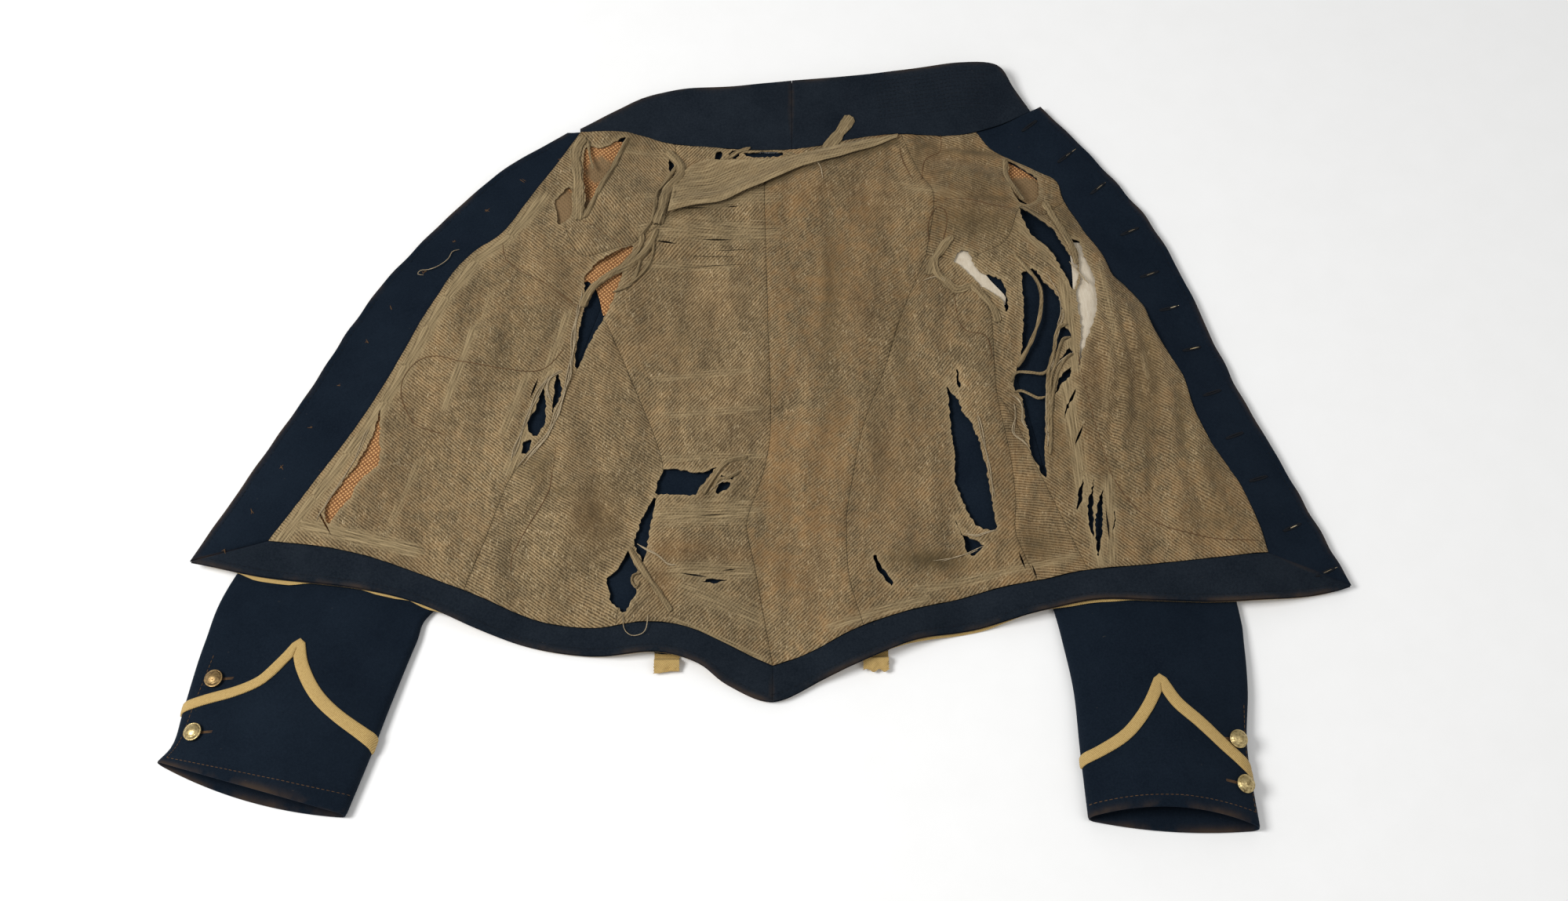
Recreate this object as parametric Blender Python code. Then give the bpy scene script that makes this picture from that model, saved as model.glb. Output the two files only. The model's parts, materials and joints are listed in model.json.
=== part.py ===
"""Cavalry shell jacket of dark blue wool, laid open on a table with its torn lining up and its sleeves under the fronts.

Right and left are the wearer's. The tables are in millimetres on the table top: x to the wearer's left, y to the
collar, z up. Every cloth piece is a sheet cut to a plan outline, and lies at a height worked out from what is under it.
"""

import math

import bmesh
import bpy
import numpy as np
from mathutils import Matrix, Vector
from mathutils.geometry import delaunay_2d_cdt

METRES = 0.001

# Cloth and trim thicknesses
WOOL = 2.0
FACING = 1.8
LINING = 1.2
CANVAS = 0.8
LACE = 1.0
LACE_WIDTH = 9.5

# Gaps: along seams, and between layers that lie on each other
SEAM_GAP = 0.3
LAYER_GAP = 0.6
BRAID_GAP = 1.4
FACING_LIFT = WOOL + 1.5
CANVAS_LIFT = WOOL + 1.4
LINING_LIFT = CANVAS_LIFT + CANVAS + LAYER_GAP

# How far what lies under the shell lifts it: the height, the flat margin round it, and the slope's length
SLEEVE_LIFT = (10.2, 10.0, 70.0)
BOLSTER_LIFT = (9.6, 6.0, 60.0)
EDGE_LACE_LIFT = (1.8, 12.0, 30.0)
BUTTON_LIFT = (7.6, 32.0, 60.0)
LIFT_BLEND = 4

# Distances between the points of a sheet, and along its edges
SHELL_LATTICE = 26.0
LINING_LATTICE = 21.0
EDGE_STEP = 20.0

# The shell's outline, collar to hem, x and y
FRONT_EDGE_RIGHT = [
    (-193, 307), (-251, 265), (-309, 201), (-353, 139), (-399, 48), (-444, -38), (-479, -105),
]
FRONT_EDGE_LEFT = [
    (231, 339), (275, 284), (320, 218), (347, 155), (378, 64), (415, -23), (457, -123),
]
NECK = [
    (-193, 307), (-140, 308), (-97, 299), (-45, 294), (0, 293), (35, 298), (70, 306), (105, 310),
    (150, 308), (190, 318), (231, 339),
]
COLLAR_TOP = [
    (-182, 311), (-150, 330), (-123, 345), (-90, 353), (-49, 355), (7, 361), (64, 367), (121, 375),
    (160, 381), (193, 379), (207, 358), (219, 339),
]
HEM = [
    (-479, -105), (-420, -118), (-347, -127), (-296, -139), (-244, -161), (-193, -177), (-143, -183),
    (-100, -181), (-68, -190), (-45, -206), (-9, -220), (29, -203), (56, -191), (106, -170),
    (157, -159), (208, -146), (252, -137), (300, -138), (350, -139), (400, -135), (440, -128), (457, -123),
]
HEM_POINT = (-9, -220)
SIDE_RIGHT = [(-100, 300), (-120, 236), (-150, 150), (-174, 72), (-205, -30), (-244, -161)]
SIDE_LEFT = [(108, 310), (130, 238), (166, 150), (196, 60), (218, -40), (240, -139)]

# Inner edges of the front facings and of the hem facing, which meet at the two corners
FACING_EDGE_RIGHT = [
    (-181, 307), (-204, 268), (-222, 240), (-245, 203), (-272, 180), (-297, 140), (-341, 40),
    (-391, -46), (-417, -88),
]
FACING_EDGE_LEFT = [
    (172, 312), (188, 291), (225, 270), (246, 238), (274, 176), (309, 128), (330, 70), (346, 15),
    (373, -39), (391, -97),
]
HEM_FACING_EDGE = [
    (-417, -88), (-372, -93), (-336, -101), (-307, -111), (-255, -131), (-200, -153), (-150, -160),
    (-112, -157), (-81, -160), (-46, -174), (-9, -191), (25, -179), (63, -160), (113, -143),
    (164, -129), (209, -121), (244, -113), (305, -107), (391, -97),
]
HEM_FACING_POINT = (-9, -191)

# Seams of the lining, top to bottom
CENTRE_SEAM = [
    (-10, 293), (-17, 256), (-14, 126), (-12, 7), (-29, -61), (-30, -76), (-22, -116), (-9, -191),
]
BACK_SEAM_RIGHT = [(-151, 112), (-129, 62), (-107, 7), (-100, -22), (-106, -50), (-126, -105), (-134, -158)]
FRONT_SEAM_RIGHT = [(-166, 108), (-176, 62), (-201, 4), (-225, -35), (-241, -87), (-256, -131)]
ARMHOLE_RIGHT = [(-132, 189), (-146, 155), (-158, 118)]
HEAD_BACK_RIGHT = [(-97, 299), (-95, 257), (-102, 213), (-132, 189)]
HEAD_FRONT_RIGHT = [(-132, 189), (-173, 177), (-190, 209), (-184, 257), (-181, 307)]
BACK_SEAM_LEFT = [
    (123, 180), (101, 126), (84, 70), (66, 19), (53, -49), (51, -72), (52, -116), (63, -160),
]
SIDE_SEAM_LEFT = [(177, 110), (178, 46), (186, -8), (189, -50), (188, -84), (203, -122)]
GUSSET_SEAM_LEFT = [(178, 46), (192, 20), (204, -13), (221, -55), (244, -113)]
ARMHOLE_LEFT = [(123, 180), (150, 171), (172, 142), (177, 110)]
HEAD_BACK_LEFT = [(105, 310), (120, 265), (131, 235), (123, 180)]
HEAD_FRONT_LEFT = [(246, 238), (226, 222), (207, 229), (194, 196), (172, 181), (150, 171)]

# Rips through the lining: both ends, width, how blunt the ends are, and how far the middle bows to the left of the way
RIPS = [
    # x0, y0, x1, y1, width, blunt, bow
    (-141, 172, -176, 63, 17, 1.6, -7),
    (-133, 187, -169, 160, 8, 1.5, 3),
    (-187, 66, -195, 36, 6, 1.6, 0),
    (-192, 24, -209, 6, 10, 1.6, 2),
    (-333, 12, -371, -69, 20, 1.5, -5),
    (-143, 301, -174, 244, 15, 1.8, 4),
    (-101, -33, -46, -30, 22, 4.0, 2),
    (-38, -29, -31, -43, 7, 2.0, 0),
    (-107, -52, -122, -98, 8, 2.0, 2),
    (-124, -106, -133, -148, 20, 2.0, 4),
    (-36, 287, 2, 288, 7, 3.0, 0),
    (-64, 288, -52, 284, 5, 2.0, 0),
    (208, 226, 248, 152, 16, 1.8, 4),
    (257, 190, 255, 74, 15, 1.5, 6),
    (207, 166, 199, 76, 14, 2.2, -3),
    (221, 152, 224, 76, 15, 2.0, 6),
    (197, 64, 217, -24, 20, 1.6, -5),
    (235, 62, 229, 34, 8, 2.0, 2),
    (150, 178, 190, 124, 14, 1.8, 2),
    (139, 60, 167, -76, 23, 2.2, -8),
    (147, -84, 157, -98, 8, 2.0, 0),
    (75, -94, 91, -123, 5, 1.6, 0),
    (243, -28, 238, -62, 5, 1.6, 0),
    (254, -36, 247, -94, 6, 1.6, 0),
    (265, -45, 258, -88, 5, 1.6, 0),
    (190, 285, 220, 266, 7, 2.0, 0),
]
RIP_POINTS = 7

# The largest folds of the lining: both ends of the ridge, its height and half its width
FOLDS = [
    # x0, y0, x1, y1, height, half_width
    (-100, 205, 60, 272, 7, 20),
    (55, 235, 62, 90, 3, 18),
    (82, 250, 80, 120, 3, 16),
    (275, 150, 290, -40, 4, 13),
    (300, 120, 325, -50, 4, 13),
    (252, 60, 262, -10, 3, 12),
    (150, 262, 200, 250, 6, 16),
    (140, 235, 205, 210, 5, 18),
    (-165, 250, -120, 225, 6, 22),
    (-185, 195, -150, 180, 5, 14),
    (-250, 90, -300, -10, 3, 14),
    (-205, -20, -222, -110, 3, 15),
    (70, -100, 190, -92, 3, 12),
]

# Pieces that show through the rips, x and y round their edges
CANVAS_RIGHT = [
    (-184, 292), (-150, 299), (-134, 285), (-126, 192), (-132, 150), (-147, 121), (-154, 120), (-158, 136),
    (-164, 150), (-174, 152), (-192, 120), (-250, 0),
    (-322, -80), (-396, -80), (-376, -40), (-330, 50), (-288, 135), (-262, 178), (-238, 205), (-215, 245),
]
CANVAS_LEFT = [(182, 292), (218, 268), (236, 246), (222, 232), (196, 250), (178, 272)]
WADDING_FRONT_LEFT = [
    (247, 196), (264, 190), (276, 140), (272, 100), (258, 62), (244, 66), (246, 120), (248, 160),
]
WADDING_ARMHOLE_LEFT = [(142, 182), (150, 190), (163, 188), (174, 160), (190, 138), (184, 128), (164, 142), (148, 160)]

# Sleeves, armhole to cuff: both folds of the pressed tube, its height, and the crown of its upper side
SLEEVE_RIGHT = [
    # outer_x, outer_y, inner_x, inner_y, height, crown
    (-124, 226, -178, 74, 7.2, 0),
    (-215, 175, -182, 0, 7.4, 0),
    (-305, 85, -198, -60, 7.4, 0),
    (-385, -15, -236, -110, 7.4, 0),
    (-445, -118, -283, -146, 7.4, 0),
    (-461, -172, -293, -172, 9.0, 4),
    (-470, -224, -309, -224, 11.0, 9),
    (-475, -255, -320, -262, 11.5, 12),
    (-486, -270, -336, -312, 11.0, 13),
]
SLEEVE_LEFT = [
    (134, 228, 199, 62, 7.2, 0),
    (215, 170, 192, 0, 7.4, 0),
    (290, 80, 196, -60, 7.4, 0),
    (345, -20, 208, -110, 7.4, 0),
    (364, -139, 217, -146, 7.4, 0),
    (366, -172, 222, -172, 9.0, 4),
    (365, -212, 228, -212, 11.0, 8),
    (360, -260, 230, -260, 11.5, 11),
    (364, -322, 233, -314, 11.0, 12),
]
# How far the middle of each cuff edge reaches past a straight edge: under side, upper side
CUFF_BOW = {"right": (8.5, 2.5), "left": (5.0, -9.0)}
CUFF_BOW_REACH = 60.0
SLEEVE_STATIONS = 18
STATION_SPREAD = 1.6
SLEEVE_FLAT_COLUMNS = 5

# Cuff braid from the outer fold to the inner: share of half the width, and distance up from the cuff edge
CHEVRON_RIGHT = [
    # share, up
    (-1, 66), (-0.76, 73), (-0.5, 79), (-0.28, 89), (-0.15, 106), (-0.07, 121), (0.06, 99), (0.28, 76),
    (0.58, 57), (1, 39),
]
CHEVRON_LEFT = [
    (-1, 38), (-0.68, 58), (-0.4, 76), (-0.13, 93), (0.03, 112), (0.21, 87), (0.43, 68), (0.73, 55), (1, 47),
]
CHEVRON_POINTS = 6
CHEVRON_SLIT = 0.15

# Buttons: radius and height pairs, back to crown
BUTTON_PROFILE = [(2.0, 0.0), (2.0, 1.2), (6.6, 1.4), (7.5, 2.0), (6.6, 3.8), (3.6, 5.2)]
BUTTON_CROWN = 5.6
BUTTON_SEGMENTS = 12
CUFF_BUTTONS = {
    # distance up from the cuff edge, and in from the outer fold
    "right": [(91, 20), (44, 16)],
    "left": [(64, 9), (29, 8)],
}
FRONT_BUTTONS = 12
FRONT_BUTTON_INSET = 21.0
FRONT_BUTTON_END = 18.0

# Belt bolsters under the back hem: middle, half width at the top and bottom, top and bottom
BOLSTERS = {"right": (-93, 9, 15, -118, -184), "left": (73, 9, 15, -108, -182)}
BOLSTER_BASE = 1.4
BOLSTER_CROWN = 6.4
BOLSTER_END = (9.5, 24.0, 10.0)
BOLSTER_CURL = 4.0

COLLAR_RISE = 9.0
COLLAR_DEPTH = 72.0

WOOL_BLUE = ((0.010, 0.017, 0.034), 0.9, 0.0)
LINING_BROWN = ((0.205, 0.150, 0.086), 0.95, 0.0)
CANVAS_TAN = ((0.420, 0.190, 0.065), 0.95, 0.0)
COTTON_WHITE = ((0.720, 0.640, 0.520), 0.95, 0.0)
BRAID_YELLOW = ((0.480, 0.330, 0.110), 0.85, 0.0)
BRASS = ((0.420, 0.330, 0.140), 0.38, 1.0)


def smooth(rows, step=EDGE_STEP):
    """A smooth curve through the rows of a table, with points about one step apart."""
    rows = np.array(rows, float)
    padded = np.vstack([2 * rows[0] - rows[1], rows, 2 * rows[-1] - rows[-2]])
    found = []
    for before, start, end, after in zip(padded, padded[1:], padded[2:], padded[3:]):
        count = max(1, round(np.linalg.norm((end - start)[:2]) / step))
        for t in np.arange(count)[:, None] / count:
            found.append(
                0.5 * (2 * start + (end - before) * t + (2 * before - 5 * start + 4 * end - after) * t**2
                       + (3 * start - before - 3 * end + after) * t**3)
            )
    return np.vstack([*found, rows[-1]])


def place_on(curve, point):
    """The place along a curve that is nearest to a point, as a number of segments and as x and y."""
    starts, ways = curve[:-1], np.diff(curve, axis=0)
    share = np.clip(((point - starts) * ways).sum(1) / (ways**2).sum(1), 0, 1)
    spots = starts + share[:, None] * ways
    best = np.argmin(np.linalg.norm(spots - point, axis=1))
    return best + share[best], spots[best]


def seam(rows, top=None, bottom=None):
    """A smooth seam whose ends lie on the curves that it runs between."""
    rows = [np.array(row, float) for row in rows]
    if top is not None:
        rows[0] = place_on(top, rows[0])[1]
    if bottom is not None:
        rows[-1] = place_on(bottom, rows[-1])[1]
    return smooth(rows)


def between(curve, start, end):
    """The stretch of a curve from one point to another, in that direction."""
    (first, start_spot), (last, end_spot) = place_on(curve, start), place_on(curve, end)
    if first > last:
        return between(curve, end, start)[::-1]
    inner = [p for i, p in enumerate(curve) if first + 0.2 < i < last - 0.2]
    return np.array([start_spot, *inner, end_spot])


def loop(*curves):
    """One closed outline from curves that follow each other, with each shared end kept once."""
    points = np.vstack(curves)
    apart = np.linalg.norm(points - np.roll(points, 1, axis=0), axis=1) > 0.5
    return points[apart]


def grown(outline, distance):
    """An outline moved outwards, or inwards if the distance is negative."""
    ways = np.roll(outline, -1, axis=0) - outline
    ways /= np.linalg.norm(ways, axis=1)[:, None]
    area = np.cross(outline, np.roll(outline, -1, axis=0)).sum()
    normals = np.stack([ways[:, 1], -ways[:, 0]], 1) * np.sign(area)
    corner = normals + np.roll(normals, 1, axis=0)
    corner /= np.maximum((corner**2).sum(1), 0.6)[:, None] / 2
    return outline + distance * corner


def edge_distance(points, outline, closed=True):
    """How far each point is from the nearest edge of an outline."""
    ends = np.roll(outline, -1, axis=0) if closed else outline[1:]
    best = np.full(len(points), 1e9)
    for start, end in zip(outline, ends):
        way = end - start
        share = np.clip((points - start) @ way / max(way @ way, 1e-9), 0, 1)
        best = np.minimum(best, np.linalg.norm(points - start - share[:, None] * way, axis=1))
    return best


def inside(points, outline):
    """Which points are inside an outline."""
    odd = np.zeros(len(points), bool)
    x, y = points.T
    for (x0, y0), (x1, y1) in zip(outline, np.roll(outline, -1, axis=0)):
        if y0 != y1:
            crosses = (y0 > y) != (y1 > y)
            odd ^= crosses & (x < x0 + (y - y0) * (x1 - x0) / (y1 - y0))
    return odd


def ease(share):
    share = np.clip(share, 0, 1)
    return share * share * (3 - 2 * share)


def lift_of(distance, lift):
    """The height that something under the cloth gives it, at a distance outside its edge."""
    height, margin, slope = lift
    return height * ease(1 - (distance - margin) / slope)


def bolster_outline(side):
    middle, top_half, bottom_half, top, bottom = BOLSTERS[side]
    half = np.array([(middle - top_half, top), (middle - bottom_half, bottom)])
    return np.vstack([half, (half * (-1, 1) + (2 * middle, 0))[::-1]])


def sleeve_outline(rows):
    table = smooth(rows)
    return np.vstack([table[:, 0:2], table[::-1, 2:4]])


EDGE_RIGHT, EDGE_LEFT, HEM_LINE = smooth(FRONT_EDGE_RIGHT), smooth(FRONT_EDGE_LEFT), smooth(HEM)
NECK_LINE = smooth(NECK)
SLEEVES = {"right": SLEEVE_RIGHT, "left": SLEEVE_LEFT}
CHEVRONS = {"right": CHEVRON_RIGHT, "left": CHEVRON_LEFT}


def shell_height(points):
    """The height of the shell's underside, from the sleeves, braid, buttons and bolsters that it lies on."""
    lifts = []
    for rows in SLEEVES.values():
        outline = sleeve_outline(rows)
        away = np.where(inside(points, outline), 0.0, edge_distance(points, outline))
        lifts.append(lift_of(away, SLEEVE_LIFT))
    for side in BOLSTERS:
        outline = bolster_outline(side)
        away = np.where(inside(points, outline), 0.0, edge_distance(points, outline))
        lifts.append(lift_of(away, BOLSTER_LIFT))
    for edge in (EDGE_RIGHT, EDGE_LEFT, HEM_LINE):
        lifts.append(lift_of(edge_distance(points, edge, closed=False), EDGE_LACE_LIFT))
    lifts.append(lift_of(edge_distance(points, EDGE_RIGHT, closed=False), BUTTON_LIFT))
    return (np.array(lifts) ** LIFT_BLEND).sum(0) ** (1 / LIFT_BLEND)


def fold_height(points):
    """The relief of the lining's folds."""
    height = np.zeros(len(points))
    for x0, y0, x1, y1, rise, half_width in FOLDS:
        away = edge_distance(points, np.array([(x0, y0), (x1, y1)], float), closed=False)
        height += rise * np.exp(-((away / half_width) ** 2))
    return height


def collar_height(points):
    """The collar's underside: it starts at the neck seam's height and stands up a little towards its top edge."""
    spots = np.array([place_on(NECK_LINE, point)[1] for point in points])
    away = np.linalg.norm(points - spots, axis=1)
    braid = EDGE_LACE_LIFT[0]
    return np.maximum(shell_height(spots), braid) + COLLAR_RISE * ease(away / COLLAR_DEPTH)


def rip_outline(x0, y0, x1, y1, width, blunt, bow):
    """A leaf-shaped tear from one end to the other."""
    start, way = np.array([x0, y0], float), np.array([x1 - x0, y1 - y0], float)
    side = np.array([-way[1], way[0]]) / np.linalg.norm(way)
    share = np.linspace(0, 1, RIP_POINTS)
    half = width / 2 * (1 - np.abs(2 * share - 1) ** blunt)
    middle = start + share[:, None] * way + (4 * bow * share * (1 - share))[:, None] * side
    return np.vstack([middle + half[:, None] * side, (middle - half[:, None] * side)[-2:0:-1]])


def lattice(outline, step):
    """Points in even rows of triangles over an outline."""
    low, high = outline.min(0), outline.max(0)
    row_step = step * math.sqrt(3) / 2
    rows = range(math.floor(low[1] / row_step), math.ceil(high[1] / row_step) + 1)
    columns = np.arange(math.floor(low[0] / step) - 1, math.ceil(high[0] / step) + 1)
    return np.vstack([np.stack([(columns + 0.5 * (row % 2)) * step, np.full(len(columns), row * row_step)], 1)
                      for row in rows])


def largest_patch(faces):
    """The largest set of faces that hang together along edges."""
    by_edge = {}
    for index, face in enumerate(faces):
        for a, b in zip(face, face[1:] + face[:1]):
            by_edge.setdefault(frozenset((a, b)), []).append(index)
    neighbours = {index: set() for index in range(len(faces))}
    for pair in by_edge.values():
        for index in pair:
            neighbours[index].update(pair)
    left, best = set(neighbours), set()
    while left:
        patch, front = set(), {left.pop()}
        while front:
            patch |= front
            front = set().union(*(neighbours[index] for index in front)) - patch
        left -= patch
        best = max(best, patch, key=len)
    return [faces[index] for index in sorted(best)]


def triangulate(outline, cuts, step):
    """The sheet inside an outline and outside its cuts, as plan points and triangles."""
    cuts = [cut for cut in cuts if inside(cut, outline).any()]
    loops = [outline, *cuts]
    inner = lattice(outline, step)
    clear = inside(inner, outline)
    for each in loops:
        clear &= edge_distance(inner, each) > 0.45 * step
    for cut in cuts:
        clear &= ~inside(inner, cut)
    points = np.vstack([*loops, inner[clear]])
    edges, first = [], 0
    for each in loops:
        count = len(each)
        edges += [(first + i, first + (i + 1) % count) for i in range(count)]
        first += count
    found = delaunay_2d_cdt([Vector(p) for p in points], edges, [], 0, 1e-3)
    points = np.array([tuple(p) for p in found[0]])
    faces = [list(face) for face in found[2]]
    middles = np.array([points[face].mean(0) for face in faces])
    kept = inside(middles, outline)
    for cut in cuts:
        kept &= ~inside(middles, cut)
    return points, largest_patch([face for face, keep in zip(faces, kept) if keep])


def add_object(name, bm, finish, parent):
    """A mesh object with its own material, in metres, under the jacket's empty."""
    bmesh.ops.scale(bm, vec=(METRES,) * 3, verts=bm.verts)
    bmesh.ops.recalc_face_normals(bm, faces=bm.faces)
    mesh = bpy.data.meshes.new(name)
    bm.to_mesh(mesh)
    bm.free()
    colour, roughness, metallic = finish
    material = bpy.data.materials.new(name)
    material.use_nodes = True
    shader = material.node_tree.nodes["Principled BSDF"]
    shader.inputs["Base Color"].default_value = (*colour, 1)
    shader.inputs["Roughness"].default_value = roughness
    shader.inputs["Metallic"].default_value = metallic
    mesh.materials.append(material)
    mesh.shade_smooth()
    mesh.set_sharp_from_angle(angle=math.radians(40))
    obj = bpy.data.objects.new(name, mesh)
    obj.parent = parent
    bpy.context.scene.collection.objects.link(obj)
    return obj


def sheet(name, outline, height, thickness, finish, parent, cuts=(), step=SHELL_LATTICE):
    """A sheet of cloth over a plan outline, set in by half a seam gap, with height(points) as its underside."""
    points, faces = triangulate(grown(outline, -SEAM_GAP / 2), cuts, step)
    low = height(points)
    thick = thickness(points) if callable(thickness) else np.full(len(points), thickness)
    bm = bmesh.new()
    under = [bm.verts.new((x, y, z)) for (x, y), z in zip(points, low)]
    over = [bm.verts.new((x, y, z)) for (x, y), z in zip(points, low + thick)]
    rims = {}
    for face in faces:
        bm.faces.new([over[i] for i in face])
        bm.faces.new([under[i] for i in reversed(face)])
        for a, b in zip(face, face[1:] + face[:1]):
            rims[a, b] = (b, a) not in rims
            if not rims[a, b]:
                rims[b, a] = False
    for (a, b), is_rim in rims.items():
        if is_rim:
            bm.faces.new([under[a], under[b], over[b], over[a]])
    bmesh.ops.delete(bm, geom=[v for v in bm.verts if not v.link_faces], context="VERTS")
    return add_object(name, bm, finish, parent)


def skin(name, rings, finish, parent):
    """A closed solid through rings of the same number of points, with its two ends filled."""
    bm = bmesh.new()
    made = [[bm.verts.new(point) for point in ring] for ring in rings]
    for ring, following in zip(made, made[1:]):
        for i in range(len(ring)):
            j = (i + 1) % len(ring)
            bm.faces.new([ring[i], ring[j], following[j], following[i]])
    bm.faces.new(made[0])
    bm.faces.new(list(reversed(made[-1])))
    return add_object(name, bm, finish, parent)


def strip_on(name, edge, inner, outer, height, parent):
    """A braid under an open edge of the shell, from the inner to the outer offset, following the shell's underside."""
    outward = side_normals(edge, right=False)
    sides = [edge + outward * inner, edge + outward * outer]
    tops = [height(side) - LAYER_GAP for side in sides]
    rings = []
    for i in range(len(edge)):
        ring = [(*sides[0][i], tops[0][i]), (*sides[1][i], tops[1][i]),
                (*sides[1][i], tops[1][i] - LACE), (*sides[0][i], tops[0][i] - LACE)]
        rings.append(ring)
    return skin(name, rings, BRAID_YELLOW, parent)


class Sleeve:
    """A pressed sleeve: a flat-bottomed tube between two folds, with stations from the armhole to the cuff."""

    def __init__(self, rows, bow):
        table = smooth(rows, step=4.0)
        self.bow = [math.copysign(1, -rows[-1][0]) * past for past in bow]
        self.outer, self.inner = table[:, 0:2], table[:, 2:4]
        self.height, self.crown = table[:, 4], np.maximum(table[:, 5], 0)
        axis = (self.outer + self.inner) / 2
        run = np.concatenate([[0], np.cumsum(np.linalg.norm(np.diff(axis, axis=0), axis=1))])
        self.up = run[-1] - run
        self.length = run[-1]

    def station(self, up):
        """Outer fold, inner fold, height and crown at a distance up the sleeve from the cuff edge."""
        order = np.argsort(self.up)
        read = [np.interp(up, self.up[order], column[order])
                for column in (*self.outer.T, *self.inner.T, self.height, self.crown)]
        return np.array(read[0:2]), np.array(read[2:4]), read[4], read[5]

    def section(self, up, inset, upper):
        """One side of the tube across the sleeve, from fold to fold, moved in by inset."""
        outer, inner, height, crown = self.station(up)
        across = inner - outer
        half = np.linalg.norm(across) / 2
        across /= 2 * half
        radius = height / 2
        flat = half - radius
        turn = np.radians([0, 45, 90])
        reach, rise = (radius - inset) * np.cos(turn), (radius - inset) * np.sin(turn)
        run = np.linspace(-flat, flat, SLEEVE_FLAT_COLUMNS + 2)
        offset = np.concatenate([-flat - reach[:2], run, (flat + reach[:2])[::-1]])
        lift = np.concatenate([rise[:2], np.full(len(run), rise[2]), rise[:2][::-1]])
        if upper:
            z = radius + SEAM_GAP / 2 + lift + crown * np.clip(1 - (offset / half) ** 2, 0, 1)
        else:
            z = (radius - SEAM_GAP / 2) * (1 - lift / radius)
        bow = self.bow[upper] * ease(1 - up / CUFF_BOW_REACH) * np.clip(1 - (offset / half) ** 2, 0, 1)
        along = np.array([across[1], -across[0]])
        spots = (outer + inner) / 2 + offset[:, None] * across + bow[:, None] * along
        return np.column_stack([spots, z])

    def on_top(self, up, offset, lift):
        """A point on the sleeve's upper side, at an offset along the cloth from its middle, and moved out by lift."""
        outer, inner, height, crown = self.station(up)
        across = inner - outer
        half = np.linalg.norm(across) / 2
        across /= 2 * half
        radius = height / 2
        flat = half - radius
        turn = np.clip((abs(offset) - flat) / radius, 0, math.pi / 2)
        side = math.copysign(min(abs(offset), flat) + (radius + lift) * math.sin(turn), offset)
        crown_here = crown * max(0.0, 1 - (side / half) ** 2)
        z = radius + (radius + lift) * math.cos(turn) + SEAM_GAP / 2 + crown_here
        return np.array([*((outer + inner) / 2 + side * across), z])

    def half_round(self, up):
        """Half the width of the upper side, along the cloth, from its middle to a fold."""
        outer, inner, height, _ = self.station(up)
        return np.linalg.norm(inner - outer) / 2 - height / 2 + height / 2 * math.pi / 2


def build_sleeve(side, parent):
    sleeve = Sleeve(SLEEVES[side], CUFF_BOW[side])
    for half, upper in (("top", True), ("under", False)):
        rings = []
        for up in sleeve.length * np.linspace(1, 0, SLEEVE_STATIONS) ** STATION_SPREAD:
            rings.append(np.vstack([sleeve.section(up, 0, upper), sleeve.section(up, WOOL, upper)[::-1]]))
        skin(f"sleeve_{half}_{side}", rings, WOOL_BLUE, parent)
    build_chevron(side, sleeve, parent)
    for number, (up, inset) in enumerate(CUFF_BUTTONS[side], 1):
        build_cuff_button(f"cuff_button_{side}_{number}", sleeve, up, inset, parent)


def build_chevron(side, sleeve, parent):
    """The pointed braid round the upper side of a cuff."""
    share, up = np.array(CHEVRONS[side], float).T
    steps = np.arange(CHEVRON_POINTS * (len(share) - 1) + 1) / CHEVRON_POINTS
    share, up = np.interp(steps, range(len(share)), share), np.interp(steps, range(len(up)), up)
    path = np.array([(u, s * (sleeve.half_round(u) - SEAM_GAP)) for u, s in zip(up, share)])
    way = np.gradient(path, axis=0)
    normal = np.stack([way[:, 1], -way[:, 0]], 1) / np.linalg.norm(way, axis=1)[:, None]
    normal[0] = normal[-1] = (1, 0)
    edges = [path + normal * LACE_WIDTH / 2, path - normal * LACE_WIDTH / 2]
    peak = np.argmax(up)
    for i, point in enumerate(edges[1]):
        limit = path[peak, 1] + CHEVRON_SLIT * (i - peak)
        point[1] = min(point[1], limit) if i < peak else max(point[1], limit)
    low, high = BRAID_GAP, BRAID_GAP + LACE
    rings = []
    for upper, lower in zip(*edges):
        rings.append([sleeve.on_top(*upper, low), sleeve.on_top(*upper, high),
                      sleeve.on_top(*lower, high), sleeve.on_top(*lower, low)])
    skin(f"cuff_braid_{side}", rings, BRAID_YELLOW, parent)


def build_button(name, place, parent):
    """A domed shank button, turned about its axis and set at a place."""
    bm = bmesh.new()
    profile = [(0.0, BUTTON_PROFILE[0][1]), *BUTTON_PROFILE, (0.0, BUTTON_CROWN)]
    verts = [bm.verts.new((radius, 0, height)) for radius, height in profile]
    edges = [bm.edges.new(pair) for pair in zip(verts, verts[1:])]
    bmesh.ops.spin(bm, geom=verts + edges, axis=(0, 0, 1), cent=(0, 0, 0), steps=BUTTON_SEGMENTS,
                   angle=2 * math.pi, use_merge=True)
    bmesh.ops.remove_doubles(bm, verts=bm.verts, dist=0.01)
    bmesh.ops.transform(bm, matrix=place, verts=bm.verts)
    return add_object(name, bm, BRASS, parent)


def build_cuff_button(name, sleeve, up, inset, parent):
    outer, inner, *_ = sleeve.station(up)
    offset = inset - np.linalg.norm(inner - outer) / 2
    spot, nearby = sleeve.on_top(up, offset, LAYER_GAP), sleeve.on_top(up, offset + 4, LAYER_GAP)
    further = sleeve.on_top(up + 4, offset, LAYER_GAP)
    normal = Vector(np.cross(nearby - spot, further - spot))
    if normal.z < 0:
        normal.negate()
    place = Matrix.Translation(Vector(spot)) @ normal.to_track_quat("Z", "Y").to_matrix().to_4x4()
    build_button(name, place, parent)


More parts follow.
